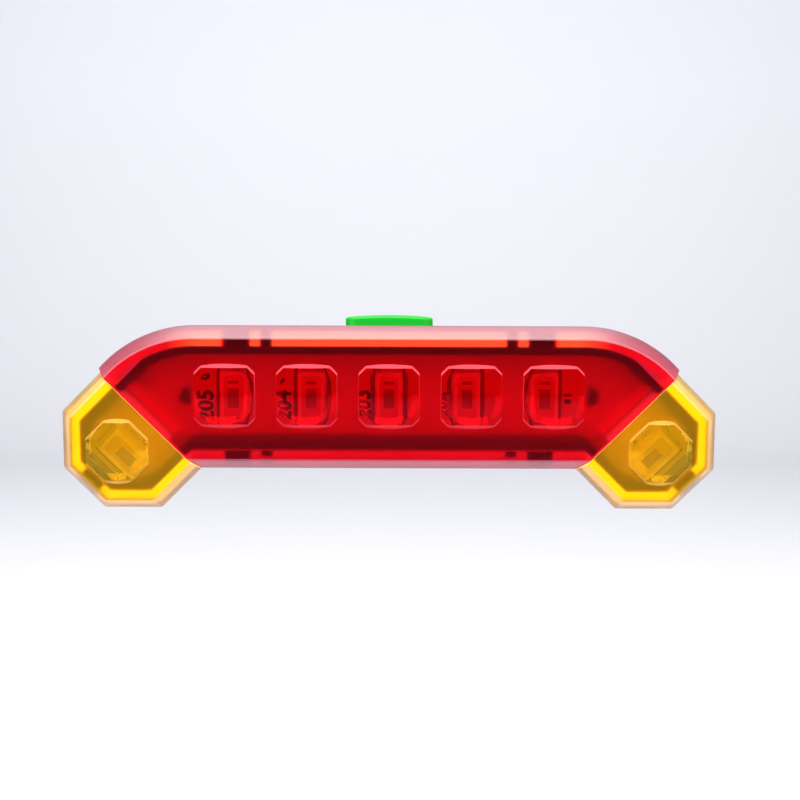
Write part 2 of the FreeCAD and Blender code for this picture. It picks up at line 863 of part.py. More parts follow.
def make_board_screws():
    screws = []
    for x, z in screw_places():
        head_back = board_front - board_seat_gap
        head = cylinder(
            screw_head_radius, (x, at(head_back - screw_head_height), z), (0, 1, 0), screw_head_height)
        shank = cylinder(screw_radius - 0.02, (x, at(head_back), z), (0, 1, 0), screw_length - 0.3)
        screw = head.fuse(shank)
        depths = (head_back - screw_head_height - 1, head_back - screw_head_height + screw_slot_depth)
        long, thin = screw_head_radius * 0.65, screw_slot_width / 2
        cross = [
            box((x - long, x + long), depths, (z - thin, z + thin)),
            box((x - thin, x + thin), depths, (z - long, z + long)),
        ]
        screws.append(screw.cut(Part.Compound(cross)))
    return Part.Compound(screws)


def on_board_back(place, size):
    """Block soldered to the back of the board, from its centre and its size."""
    (x, z), (length, width, height) = place, size
    return box(
        (x - length / 2, x + length / 2), (board_back, board_back + height),
        (z - width / 2, z + width / 2))


def leaded_chip(place, size, leads, count):
    """Moulded chip with a row of flat leads on each long side."""
    pitch, width = leads
    solids = [on_board_back(place, size)]
    for i in range(count):
        x = place[0] + (i - (count - 1) / 2) * pitch
        for side in (1, -1):
            z = place[1] + side * (size[1] + lead_reach) / 2
            solids.append(on_board_back((x, z), (width, lead_reach, lead_height)))
    return Part.Compound(solids)


def make_controller():
    return leaded_chip(controller_place, controller_size, controller_leads, controller_lead_count)


def make_charger():
    return leaded_chip(charger_place, charger_size, charger_leads, charger_lead_count)


def make_resistors():
    """One current limiter for each light source, in a row on the back of the board."""
    x, z = resistor_row
    return Part.Compound([
        on_board_back((x + i * resistor_pitch, z), resistor_size) for i in range(len(led_places()))
    ])


def make_capacitors():
    return Part.Compound([on_board_back(place, capacitor_size) for place in capacitor_places])


def make_choke():
    """Ferrite choke of the charging circuit."""
    core = on_board_back(choke_place, choke_size)
    return core.makeFillet(
        choke_corner, [e for e in core.Edges if e.BoundBox.YLength > choke_size[2] - 0.01])


def switch_z():
    """Underside and top of the switch body, so that its plunger ends under the button's stem."""
    top = tub_top - tub_wall - plunger_rise - switch_top_gap
    return top - switch_height, top


def make_switch():
    low, high = switch_z()
    half = switch_length / 2
    body = box((-half, half), (board_back, board_back + switch_depth), (low, high))
    middle = board_back + switch_depth / 2
    half_bore = plunger_length / 2 + plunger_slack
    half_width = plunger_width / 2 + plunger_slack
    bore = box(
        (-half_bore, half_bore), (middle - half_width, middle + half_width),
        (high - plunger_root - button_travel - 0.1, high + 1))
    return body.cut(bore)


def make_plunger():
    high = switch_z()[1]
    middle = board_back + switch_depth / 2
    return box(
        (-plunger_length / 2, plunger_length / 2),
        (middle - plunger_width / 2, middle + plunger_width / 2),
        (high - plunger_root, high + plunger_rise))


def make_button():
    """Push button with a crowned top, a flange under the collar's lip and a stem."""
    y = button_centre_y()
    flange_top = collar_top - collar_lip - button_flange_gap
    flange_low = flange_top - button_flange_thickness
    cap = stadium(button_length, button_width, y, flange_low, button_ends_z + 2 * button_crown)
    half = button_length / 2
    crown_radius = (half * half + button_crown * button_crown) / (2 * button_crown)
    crown = cylinder(
        crown_radius,
        (0, y - button_width, button_ends_z + button_crown - crown_radius), (0, 1, 0),
        2 * button_width)
    cap = cap.common(crown)
    cap = cap.makeFillet(
        button_edge_radius, [e for e in cap.Edges if e.BoundBox.ZMin > button_ends_z - 0.2])
    flange = stadium(
        button_length + 2 * button_flange, button_width + 2 * button_flange, y, flange_low, flange_top)
    foot = switch_z()[1] + plunger_rise + plunger_gap
    stem = block(
        (-button_stem_length / 2, button_stem_length / 2),
        (y - button_stem_width / 2, y + button_stem_width / 2), (foot, flange_low + bite))
    return fused([cap, flange, stem])


def make_button_seal():
    """Silicone sheet on the floor of the collar, with a slot for the button's stem."""
    y = button_centre_y()
    sheet = stadium(
        button_length + 2 * button_flange, button_width + 2 * button_flange, y,
        tub_top + seal_gap, tub_top + seal_gap + seal_thickness)
    slack = seal_slot_slack
    slot = block(
        (-button_stem_length / 2 - slack, button_stem_length / 2 + slack),
        (y - button_stem_width / 2 - slack, y + button_stem_width / 2 + slack),
        (tub_top - 1, tub_top + seal_thickness + 1))
    return sheet.cut(slot)


def make_indicator():
    """Small charge indicator beside the switch."""
    length, width, _ = indicator_size
    place = (switch_length / 2 + 1.0 + length / 2, switch_z()[1] - width / 2)
    return on_board_back(place, indicator_size)


def socket_mouth_z():
    return tub_bottom + tub_wall + socket_recess


def make_socket():
    """Metal shell of the charging socket, open downwards."""
    mouth = socket_mouth_z()
    middle = port_place()
    half, reach = socket_width / 2, socket_thickness / 2
    shell = box((-half, half), (middle - reach, middle + reach), (mouth, mouth + socket_length))
    shell = shell.makeFillet(socket_corner_radius, [
        e for e in shell.Edges
        if e.BoundBox.ZLength > socket_length - 0.01 and e.BoundBox.YMin > at(middle)])
    wall = socket_shell
    hollow = box(
        (-half + wall, half - wall), (middle - reach + wall, middle + reach - wall),
        (mouth - 1, mouth + socket_length - socket_back))
    return shell.cut(hollow)


def make_tongue():
    """Contact tongue inside the socket."""
    middle = port_place()
    root = socket_mouth_z() + socket_length - socket_back
    return box(
        (-tongue_width / 2, tongue_width / 2),
        (middle - tongue_thickness / 2, middle + tongue_thickness / 2),
        (root - tongue_length, root))


def cover_faces():
    """Top and underside of the rubber cover, just below the tub."""
    top = tub_bottom - cover_seat_gap
    return top, top - cover_thickness


def make_cover():
    """Flap with a plug for the socket and a lip for a fingernail."""
    top, low = cover_faces()
    middle = port_place()
    half = cover_width / 2
    start = -cover_length / 2 + cover_hinge_gap
    flap = box((start, cover_length / 2), (middle - half, middle + half), (low, top))
    flap = flap.makeFillet(cover_corner_radius, [
        e for e in flap.Edges if e.BoundBox.ZLength > cover_thickness - 0.01 and e.BoundBox.XMin > 0])
    flap = flap.makeChamfer(cover_hinge_relief, [
        e for e in flap.Edges if e.BoundBox.ZMax < low + 0.01 and e.BoundBox.XMax < start + 0.01])
    flap = flap.makeFillet(cover_edge_radius, [
        e for e in flap.Edges if e.BoundBox.ZMax < low + 0.01 and e.BoundBox.XMax > start + 1.0])
    plug_half = socket_width / 2 + port_slack - cover_plug_slack
    plug_reach = socket_thickness / 2 + port_slack - cover_plug_slack
    plug = box(
        (-plug_half, plug_half), (middle - plug_reach, middle + plug_reach),
        (top - bite, top + cover_plug_depth + cover_seat_gap))
    plug = plug.makeFillet(cover_edge_radius, [e for e in plug.Edges if e.BoundBox.ZMin > top + bite])
    lip = cylinder(
        cover_lip_radius, (cover_length / 2, at(middle - cover_lip_length / 2), (top + low) / 2),
        (0, 1, 0), cover_lip_length)
    lip = lip.common(box((0, cover_length), (0, lamp_depth), (low, top)))
    return fused([flap, plug, lip])


def make_cover_anchor():
    """Fixed end of the rubber cover, pegged into the tub."""
    top, low = cover_faces()
    middle = port_place()
    half = cover_width / 2
    end = -cover_length / 2 - cover_hinge_gap
    strip = box((end - cover_anchor_length, end), (middle - half, middle + half), (low, tub_bottom))
    strip = strip.makeChamfer(cover_hinge_relief, [
        e for e in strip.Edges if e.BoundBox.ZMax < low + 0.01 and e.BoundBox.XMin > end - 0.01])
    return strip.makeFillet(cover_edge_radius, [
        e for e in strip.Edges if e.BoundBox.ZMax < low + 0.01 and e.BoundBox.XMax < end - 1.0])


def cell_depths():
    return board_back + cell_front_gap, tub_floor - cell_back_gap


def make_cell():
    z = cell_height / 2
    cell = box((cell_start, cell_end), cell_depths(), (-z, z))
    return cell.makeFillet(cell_edge_radius, [
        e for e in cell.Edges if e.BoundBox.XLength > cell_length - 0.01])


def make_cell_pad():
    """Foam that sticks the cell to the floor of the tub."""
    z = cell_height / 2 - cell_pad_margin
    return box(
        (cell_start + cell_pad_margin, cell_end - cell_pad_margin),
        (tub_floor - cell_back_gap, tub_floor), (-z, z))


def make_guard_board():
    """Protection board across the end of the cell."""
    front, back = cell_depths()
    z = guard_board_height / 2
    return box(
        (cell_end, cell_end + guard_board_length),
        (front + guard_board_margin, back - guard_board_margin), (-z, z))


def make_cell_tabs():
    """Two nickel tabs from the protection board to pads on the main board."""
    end = cell_end + guard_board_length
    back = cell_depths()[1]
    tabs = []
    for side in (1, -1):
        z = side * tab_spacing / 2
        across = (z - tab_width / 2, z + tab_width / 2)
        rise = box((end, end + tab_thickness), (board_back, back - tab_top_gap), across)
        foot = box((end, end + tab_foot), (board_back, board_back + tab_thickness), across)
        tabs.append(rise.fuse(foot))
    return Part.Compound(tabs)


def make_pad():
    """Ribbed rubber pad between the saddle and the post."""
    outer_radius = post_radius + pad_thickness - pad_gap
    z = pad_height / 2
    ring = cylinder(outer_radius, (0, 0, -z), (0, 0, 1), pad_height)
    ring = ring.cut(cylinder(post_radius, (0, 0, -pad_height), (0, 0, 1), 2 * pad_height))
    half = math.radians(pad_half_angle)
    far = 3 * outer_radius
    vector = FreeCAD.Vector
    corner = vector(far * math.sin(half), -far * math.cos(half), -z)
    wedge = Part.Face(Part.makePolygon([
        vector(0, 0, -z), vector(-corner.x, corner.y, -z), vector(0, -2 * far, -z), corner,
        vector(0, 0, -z),
    ])).extrude(vector(0, 0, pad_height))
    pad = ring.common(wedge)
    grooves = []
    gap = pad_height / pad_rib_count
    for i in range(pad_rib_count - 1):
        middle = -z + (i + 1) * gap
        grooves.append(cylinder(
            post_radius + pad_rib_depth, (0, 0, middle - pad_rib_width / 2), (0, 0, 1), pad_rib_width))
    return pad.cut(Part.Compound(grooves))


def make_strap():
    """Silicone strap: an eye on the pin, a half turn round the post and a flat end with holes."""
    inner, outer = post_radius, post_radius + strap_thickness
    z = strap_width / 2
    flat_front = strap_front_y()
    flat_back = flat_front + strap_thickness
    ring = cylinder(outer, (0, 0, -z), (0, 0, 1), strap_width)
    ring = ring.common(block((-outer, outer), (0, outer), (-z, z)))
    elbow_x = outer + strap_elbow_radius
    elbow_y = flat_back + strap_elbow_radius
    right_leg = block((inner, outer), (elbow_y, 0), (-z, z))
    elbow = cylinder(strap_thickness + strap_elbow_radius, (elbow_x, elbow_y, -z), (0, 0, 1), strap_width)
    elbow = elbow.common(block(
        (inner, elbow_x), (flat_front, elbow_y), (-z, z)))
    elbow = elbow.cut(cylinder(strap_elbow_radius, (elbow_x, elbow_y, -z), (0, 0, 1), strap_width))
    flat = block((elbow_x, strap_end_x), (flat_front, flat_back), (-z, z))
    flat = flat.makeFillet(strap_end_radius, [
        e for e in flat.Edges
        if e.BoundBox.YLength > strap_thickness - 0.01 and e.BoundBox.XMin > elbow_x + 0.1])
    ribs = []
    for i in range(strap_grip_rib_count):
        rib_end = strap_end_x - strap_grip_margin - i * strap_grip_rib_pitch
        ribs.append(block(
            (rib_end - strap_grip_rib_width, rib_end),
            (flat_back - bite, flat_back + strap_grip_rib_height),
            (-strap_hole_width / 2, strap_hole_width / 2)))
    x, y = pin_place()
    eye_radius = pin_radius + pin_clearance + eye_wall
    half_eye = strap_eye_width / 2
    eye = cylinder(eye_radius, (x, y, -half_eye), (0, 0, 1), strap_eye_width)
    neck_end = y + eye_radius + strap_neck_length
    left_leg = block((-outer, -inner), (neck_end, 0), (-z, z))
    neck = block((-outer, -inner), (y, neck_end), (-half_eye, half_eye))
    strap = fused([ring, right_leg, elbow, flat, eye, left_leg, neck, *ribs])
    holes = [cylinder(inner, (0, 0, -strap_width), (0, 0, 1), 2 * strap_width)]
    holes.append(cylinder(pin_radius + pin_clearance, (x, y, -strap_width), (0, 0, 1), 2 * strap_width))
    half_hole = strap_hole_width / 2
    lip_middle = hook_x + hook_lip / 2
    for i in range(strap_hole_count):
        middle = lip_middle + i * strap_hole_pitch
        holes.append(block(
            (middle - strap_hole_length / 2, middle + strap_hole_length / 2),
            (flat_front - 1, flat_back + 1), (-half_hole, half_hole)))
    return strap.cut(Part.Compound(holes))


def make_strap_pin():
    x, y = pin_place()
    half = strap_eye_width / 2 + ear_gap + ear_thickness
    return cylinder(pin_radius, (x, y, -half), (0, 0, 1), 2 * half)


def make_parts():
    amber = make_amber_lens()
    parts = {
        "red_lens": make_red_lens(),
        "amber_lens_right": amber,
        "amber_lens_left": mirrored(amber),
        "lens_gasket": make_gasket(),
        "rear_housing": make_rear_housing(),
        "led_board": make_board(),
        "led_resin_fills": make_led_fills(),
        "board_screws": make_board_screws(),
        "controller_chip": make_controller(),
        "charger_chip": make_charger(),
        "board_resistors": make_resistors(),
        "board_capacitors": make_capacitors(),
        "charger_choke": make_choke(),
        "charge_indicator": make_indicator(),
        "switch_body": make_switch(),
        "switch_plunger": make_plunger(),
        "power_button": make_button(),
        "button_seal": make_button_seal(),
        "charging_socket": make_socket(),
        "socket_tongue": make_tongue(),
        "port_cover": make_cover(),
        "port_cover_anchor": make_cover_anchor(),
        "battery_cell": make_cell(),
        "battery_foam_pad": make_cell_pad(),
        "battery_guard_board": make_guard_board(),
        "battery_tabs": make_cell_tabs(),
        "post_pad": make_pad(),
        "mounting_strap": make_strap(),
        "strap_pin": make_strap_pin(),
    }
    for name, (x, z, turn) in led_places().items():
        parts[name] = make_led(x, z, turn)
    return parts


def main():
    os.makedirs("parts", exist_ok=True)
    for name, shape in make_parts().items():
        shape.exportStep(f"parts/{name}.step")
        print(name, len(shape.Solids), "valid" if shape.isValid() else "NOT VALID", round(shape.Volume, 2))


main()
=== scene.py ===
import math

import bmesh
import bpy
from mathutils import Matrix, Vector


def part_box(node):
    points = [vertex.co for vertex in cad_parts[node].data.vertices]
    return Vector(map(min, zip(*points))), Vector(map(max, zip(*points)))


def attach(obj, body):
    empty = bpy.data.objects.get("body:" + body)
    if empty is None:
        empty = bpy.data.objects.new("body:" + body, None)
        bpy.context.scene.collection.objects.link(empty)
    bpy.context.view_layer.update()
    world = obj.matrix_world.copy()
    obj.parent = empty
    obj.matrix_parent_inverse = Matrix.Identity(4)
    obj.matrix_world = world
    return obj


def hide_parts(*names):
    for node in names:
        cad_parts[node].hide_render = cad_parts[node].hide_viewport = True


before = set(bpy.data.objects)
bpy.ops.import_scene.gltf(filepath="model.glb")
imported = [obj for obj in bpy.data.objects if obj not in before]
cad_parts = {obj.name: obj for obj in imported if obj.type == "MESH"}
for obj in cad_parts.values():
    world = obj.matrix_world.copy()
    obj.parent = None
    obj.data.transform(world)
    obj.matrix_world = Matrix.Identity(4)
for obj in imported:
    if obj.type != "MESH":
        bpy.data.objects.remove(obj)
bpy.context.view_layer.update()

bl_info = {
    "name": "Bicycle tail light",
    "version": (1, 0, 0),
    "blender": (4, 5, 0),
    "location": "3D View > Sidebar > Tail light",
    "description": "Builds the finished look of a bicycle tail light over its solid parts",
    "category": "Object",
}

MM = 0.001
ROOT2 = math.sqrt(2.0)
OCTAGON = math.tan(math.radians(22.5))

# Outline and section of the lenses in millimetres, as the solid parts have them
BODY_TOP = 12.9
BODY_BOTTOM = -12.8
SHOULDER_X = 34.5
SHOULDER_RADIUS = 23.2
POD_X = 46.1
POD_HALF = 12.4
POD_Z = BODY_BOTTOM + POD_HALF * OCTAGON
SEAM_IN_POD = -POD_HALF * (1 - OCTAGON)
SEAM_LEVEL = POD_X - POD_Z + SEAM_IN_POD
SEAM_GAP = 0.05
BEVEL_INSET = 1.9
BEVEL_DEPTH = 3.3
FLANGE_DEPTH = 3.7
PLATE = 2.0
SKIRT_INSET = 1.9
SKIRT_INNER = 3.5
SKIRT_FROM = 2.6
SKIRT_DEPTH = 8.0
WALL_INSET = 5.47
WALL_THICKNESS = 1.6
WALL_DEPTH = 9.2
BOARD_DEPTH = 9.5
LED_TOP_DEPTH = 8.6
WINDOW_PITCH = 14.48
WINDOW_Z = 0.3
LED_DROP = 0.8
POD_LED_SHIFT = 0.97
POD_WINDOW = 11.1
POD_WINDOW_SHIFT = 2.85 / ROOT2
MAGNIFIER_RADIUS = 24.0
CLIP_DEPTHS = (3.95, 7.05)
SKIRT_CUTS = (
    # Snap windows, then locator notches: middle and half width across, depths, upper and lower heights
    (27.2, 2.55, CLIP_DEPTHS, (8.6, 12.14), (-12.04, -8.5)),
    (21.9, 1.05, (4.85, 9.0), (8.6, 10.83), (-10.73, -8.5)),
)
# Windows as they look from the front: a little higher than in the solids, with shorter corner cuts
WINDOW_LIFT = 0.4
WINDOW_CHAMFER = 1.25
WINDOW_SLOPE = 0.38
WINDOW_SIDE_SLOPE = 0.05
WINDOW_ARCH = 0.3
DOME_REACH = 5.5
# How far shapes run past each other before they are joined or cut
OVERSHOOT = 1.0
SOFT_EDGE_ANGLE = 32.0
FRONT_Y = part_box("led_board")[0][1] / MM - BOARD_DEPTH

RED_CENTRES = [((i - 2) * WINDOW_PITCH, WINDOW_Z + WINDOW_LIFT) for i in range(5)]
POD_CENTRE = (POD_X + POD_WINDOW_SHIFT, POD_Z - POD_WINDOW_SHIFT + WINDOW_LIFT)
LED_Z = WINDOW_Z - LED_DROP


def hex_colour(code):
    """Linear RGBA from an sRGB hex code."""
    parts = [int(code[i:i + 2], 16) / 255 for i in (1, 3, 5)]
    return tuple(c / 12.92 if c <= 0.04045 else ((c + 0.055) / 1.055) ** 2.4 for c in parts) + (1.0,)


# ---- meshes

def spot(x, depth, z):
    """Point in metres from millimetres: across, behind the lens front, and up."""
    return Vector((x, FRONT_Y + depth, z)) * MM


def shell(loops):
    """Closed shell through loops of equal count, each a list of (x, depth, z)."""
    verts = [p for loop in loops for p in loop]
    count = len(loops[0])
    faces = [tuple(range(count)), tuple(reversed(range(len(verts) - count, len(verts))))]
    for k in range(len(loops) - 1):
        a, b = k * count, (k + 1) * count
        for i in range(count):
            j = (i + 1) % count
            faces.append((a + i, b + i, b + j, a + j))
    return verts, faces


def joined(shells):
    """Several shells that don't touch as one."""
    verts, faces = [], []
    for more_verts, more_faces in shells:
        start = len(verts)
        verts += more_verts
        faces += [tuple(start + i for i in face) for face in more_faces]
    return verts, faces


def prism(outline, depth_from, depth_to):
    return shell([[(x, d, z) for x, z in outline] for d in (depth_from, depth_to)])


def flipped(shell_parts):
    """The same shell on the other side of the lamp."""
    verts, faces = shell_parts
    return [(-x, d, z) for x, d, z in verts], [tuple(reversed(face)) for face in faces]


def block(x0, x1, d0, d1, z0, z1):
    return prism([(x0, z0), (x1, z0), (x1, z1), (x0, z1)], d0, d1)


def new_object(name, mesh):
    obj = bpy.data.objects.new(name, mesh)
    bpy.context.scene.collection.objects.link(obj)
    return obj


def mesh_from(bm, name):
    """Plain mesh from a bmesh, which is then freed."""
    mesh = bpy.data.meshes.new(name)
    bm.to_mesh(mesh)
    bm.free()
    return mesh


def make_object(name, parts):
    """Object in millimetres from a shell, with its faces pointing outwards."""
    verts, faces = parts
    bm = bmesh.new()
    made = [bm.verts.new((x, FRONT_Y + depth, z)) for x, depth, z in verts]
    for face in faces:
        bm.faces.new([made[i] for i in face])
    bmesh.ops.recalc_face_normals(bm, faces=bm.faces)
    return new_object(name, mesh_from(bm, name))


def bake_modifiers(obj):
    """Turns what the modifiers make into the object's own plain mesh."""
    evaluated = obj.evaluated_get(bpy.context.evaluated_depsgraph_get())
    mesh = bpy.data.meshes.new_from_object(evaluated)
    obj.modifiers.clear()
    old = obj.data
    obj.data = mesh
    bpy.data.meshes.remove(old)
    mesh.name = obj.name


def combine(obj, operation, *parts):
    """Adds shells to an object, or takes them away."""
    for extra in parts:
        tool = make_object(f"{obj.name}_tool", extra)
        modifier = obj.modifiers.new("combine", "BOOLEAN")
        modifier.operation = operation
        modifier.solver = "EXACT"
        modifier.object = tool
        bake_modifiers(obj)
        bpy.data.objects.remove(tool)


def smooth(obj, angle):
    """Smooth shading that keeps edges sharper than the angle and leaves flat faces flat."""
    mesh = obj.data
    mesh.polygons.foreach_set("use_smooth", [True] * len(mesh.polygons))
    mesh.set_sharp_from_angle(angle=math.radians(angle))
    modifier = obj.modifiers.new("flat faces", "WEIGHTED_NORMAL")
    modifier.keep_sharp = True
    modifier.weight = 100
    bake_modifiers(obj)


def soften(obj, width_mm):
    """Rounds the sharper edges of a piece."""
    modifier = obj.modifiers.new("soft edges", "BEVEL")
    modifier.width = width_mm * MM
    modifier.segments = 2
    modifier.limit_method = "ANGLE"
    modifier.angle_limit = math.radians(SOFT_EDGE_ANGLE)


def finish_piece(obj, body="housing"):
    """Gives a piece the body that it moves with."""
    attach(obj, body)


def refined(node, material, bevel, body="housing"):
    """Stands in for a solid with the same shape, its loose facets merged and its edges softened."""
    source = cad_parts[node]
    bm = bmesh.new()
    bm.from_mesh(source.data)
    bm.transform(source.matrix_world)
    bmesh.ops.remove_doubles(bm, verts=bm.verts, dist=2e-6)
    bmesh.ops.dissolve_limit(bm, angle_limit=math.radians(1.0), verts=bm.verts, edges=bm.edges)
    bmesh.ops.recalc_face_normals(bm, faces=bm.faces)
    obj = new_object(f"{node}_finish", mesh_from(bm, f"{node}_finish"))
    if bevel:
        soften(obj, bevel)
        bake_modifiers(obj)
    smooth(obj, SOFT_EDGE_ANGLE)
    obj.data.materials.clear()
    obj.data.materials.append(material)
    finish_piece(obj, body)
    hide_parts(node)


# ---- outlines

def red_outline(inset, seam_inset, steps=24):
    """Points of the red lens's outline, its sides moved in by inset and its seams by seam_inset."""
    top, bottom = BODY_TOP - inset, BODY_BOTTOM + inset
    radius = SHOULDER_RADIUS - inset
    centre_z = BODY_TOP - SHOULDER_RADIUS
    seam = SEAM_LEVEL - seam_inset * ROOT2
    end = math.pi / 4 + math.asin((seam - SHOULDER_X + centre_z) / (radius * ROOT2))
    arc = []
    for i in range(steps + 1):
        angle = end * (1 - i / steps)
        arc.append((SHOULDER_X + radius * math.sin(angle), centre_z + radius * math.cos(angle)))
    low = seam + bottom
    return [(-low, bottom), (low, bottom)] + arc + [(-x, z) for x, z in reversed(arc)]


def rounded(corners, radii, steps=5):
    """Points round a polygon whose corners each have a rounding radius, or stay sharp at 0."""
    points = []
    for i, (corner, radius) in enumerate(zip(corners, radii)):
        here = Vector(corner)
        if not radius:
            points.append(tuple(here))
            continue
        before = (Vector(corners[i - 1]) - here).normalized()
        after = (Vector(corners[(i + 1) % len(corners)]) - here).normalized()
        half = before.angle(after) / 2
        centre = here + (before + after).normalized() * radius / math.sin(half)
        start = here + before * radius / math.tan(half) - centre
        end = here + after * radius / math.tan(half) - centre
        turn = start.angle_signed(end)
        for k in range(steps + 1):
            angle = -turn * k / steps
            cos, sin = math.cos(angle), math.sin(angle)
            points.append((
                centre.x + start.x * cos - start.y * sin, centre.y + start.x * sin + start.y * cos))
    return points


def pod_outline(inset, seam_inset, radius):
    """Points of the right-hand amber lens's outline."""
    a = POD_HALF - inset
    b = a * OCTAGON
    reach = a * ROOT2
    seam = SEAM_IN_POD + seam_inset * ROOT2
    corners = [
        ((reach + seam) / 2, (reach - seam) / 2), (a, b), (a, -b), (b, -a), (-b, -a),
        ((seam - reach) / 2, (-reach - seam) / 2),
    ]
    radii = [0.0] + [radius] * 4 + [0.0]
    return [(POD_X + x, POD_Z + z) for x, z in rounded(corners, radii)]


def red_hollow():
    """Outline of the room in the red lens, which widens at its lower corners for the tub."""
    arcs = red_outline(SKIRT_INNER, -2 * OVERSHOOT)[2:]
    bottom = BODY_BOTTOM + SKIRT_INNER
    corner_x = POD_X - (POD_HALF - SKIRT_INNER) * ROOT2 - (bottom - POD_Z)
    past = 2.5
    right = [(corner_x, bottom), (corner_x + past, bottom - past)]
    return [(-corner_x - past, bottom - past), (-corner_x, bottom)] + right + arcs


def octagon(width, height, chamfer, centre, corner_radius=0.35, side_steps=5):
    """Points round a rectangle with cut corners, its sides divided so that a crown can bend them."""
    w, h, c = width / 2, height / 2, chamfer
    right = [(w - c, h), (w, h - c), (w, c - h), (w - c, -h)]
    corners = right + [(c - w, -h), (-w, c - h), (-w, h - c), (c - w, h)]
    ring = rounded(corners, [corner_radius] * 8, steps=3)
    points = []
    for i, point in enumerate(ring):
        points.append(point)
        if i % 4 == 3:
            after = ring[(i + 1) % len(ring)]
            for k in range(1, side_steps):
                t = k / side_steps
                points.append((point[0] + (after[0] - point[0]) * t, point[1] + (after[1] - point[1]) * t))
    return [(centre[0] + x, centre[1] + z) for x, z in points]


# ---- lens pieces

def window_pad(sizes, width, height, chamfer, centre):
    """Raised window: sloping edges, a small rounding and a domed face."""
    rise = sizes.window_rise / MM
    dome = sizes.dome_radius / MM
    inner = octagon(width - 2 * WINDOW_SIDE_SLOPE, height - 2 * WINDOW_SLOPE, chamfer, centre)
    edge = []
    for x, z in octagon(width, height, chamfer, centre):
        on_level = abs(abs(z - centre[1]) - height / 2) < 0.01
        arch = WINDOW_ARCH * (1 - ((x - centre[0]) / (width / 2 - chamfer)) ** 2) if on_level else 0.0
        edge.append((x, z + math.copysign(max(arch, 0.0), z - centre[1])))

    def top(x, z):
        """Height of the dome, which flattens towards the corners."""
        reach = math.hypot(x - centre[0], z - centre[1])
        reach = min(reach, DOME_REACH + 0.3 * (reach - DOME_REACH))
        return rise - dome + math.sqrt(dome ** 2 - reach ** 2)

    loops = []
    for share in (-0.7, 0.5, 0.86, 0.97):
        loops.append([
            (x0 + (x1 - x0) * share, -share * top(x1, z1), z0 + (z1 - z0) * share)
            for (x0, z0), (x1, z1) in zip(edge, inner)])
    last = loops[-1]
    for shrink, drop in [(0.985, 0.012)] + [(0.965 - 0.08 * i, 0.0) for i in range(12)]:
        ring = []
        for x, _, z in last:
            x_in = centre[0] + (x - centre[0]) * shrink
            z_in = centre[1] + (z - centre[1]) * shrink
            ring.append((x_in, drop - top(x_in, z_in), z_in))
        loops.append(ring)
    return shell(loops)


def magnifier(sizes, centre, limit=None, segments=64):
    """Ball cap on the inside of a window. limit gives the reach allowed in a direction."""
    bulge = sizes.magnifier_bulge / MM
    radius = 1.02 * math.sqrt(MAGNIFIER_RADIUS ** 2 - (MAGNIFIER_RADIUS - bulge) ** 2)
    loops = []
    for share in [1.0] + [1.0 - 0.07 * i for i in range(15)]:
        ring = []
        for i in range(segments):
            angle = math.tau * i / segments
            cos, sin = math.cos(angle), math.sin(angle)
            r = share * min(radius, limit(cos, sin) if limit else radius)
            sag = MAGNIFIER_RADIUS - math.sqrt(MAGNIFIER_RADIUS ** 2 - r * r)
            depth = PLATE + bulge - sag if loops else PLATE - 0.5
            ring.append((centre[0] + r * cos, depth, centre[1] + r * sin))
        loops.append(ring)
    return shell(loops)


def plate_profile(sizes):
    """Pairs of inset and depth from the back of the flange to the front face, with rounded edges."""
    r = sizes.edge_rounding / MM
    slope = math.atan2(BEVEL_DEPTH, BEVEL_INSET)
    c, s = math.cos(slope), math.sin(slope)
    return [
        (0.0, FLANGE_DEPTH), (0.0, BEVEL_DEPTH + r), (r * c * 0.25, BEVEL_DEPTH + r * 0.1),
        (r * c, BEVEL_DEPTH - r * s),
        (BEVEL_INSET - r * c, r * s), (BEVEL_INSET + r * 0.1, r * 0.22), (BEVEL_INSET + r, 0.0),
    ]


# Finishes of a lens, in the order of its materials
FRONT, BEVEL, WINDOW, INSIDE, SKIRT_END, SEAM, RIM = range(7)
NEAR_WINDOW = 6.8


def lens_finish(red, x, depth, z, normal, centres):
    """Which finish a face of a lens has, told by where it lies and how it faces."""
    seam_side = abs(x) - z - SEAM_LEVEL if red else SEAM_LEVEL + SEAM_GAP * ROOT2 - abs(x) + z
    if abs(seam_side) < 0.02 and abs(normal.y) < 0.1:
        return SEAM
    near = min(math.hypot(x - cx, z - cz) for cx, cz in centres)
    if depth < -0.004:
        return WINDOW if normal.y < -0.9 else RIM
    if abs(depth - SKIRT_DEPTH) < 0.05 and normal.y > 0.9:
        return SKIRT_END
    if PLATE + 0.02 < depth < PLATE + 1.0 and normal.y > 0.3 and near < NEAR_WINDOW:
        return WINDOW
    if depth < 0.02:
        return FRONT
    plate_back = abs(depth - PLATE) < 0.1 and normal.y > 0.9
    outward = normal.y < 0.5 or depth > FLANGE_DEPTH - 0.02
    if depth < FLANGE_DEPTH + 0.02 and outward and not plate_back:
        return BEVEL
    return INSIDE


def dress_lens(obj, red, centres, materials):
    """Marks each face of a lens with its finish and smooths the whole."""
    bm = bmesh.new()
    bm.from_mesh(obj.data)
    bmesh.ops.dissolve_degenerate(bm, edges=bm.edges, dist=1e-4)
    for face in bm.faces:
        middle = face.calc_center_median()
        face.material_index = lens_finish(
            red, middle.x, middle.y - FRONT_Y, middle.z, face.normal, centres)
    open_edges = sum(not edge.is_manifold for edge in bm.edges)
    if open_edges:
        print(obj.name, "has", open_edges, "open edges")
    bm.transform(Matrix.Scale(MM, 4))
    bm.to_mesh(obj.data)
    bm.free()
    for item in materials:
        obj.data.materials.append(item)
    smooth(obj, 28.0)


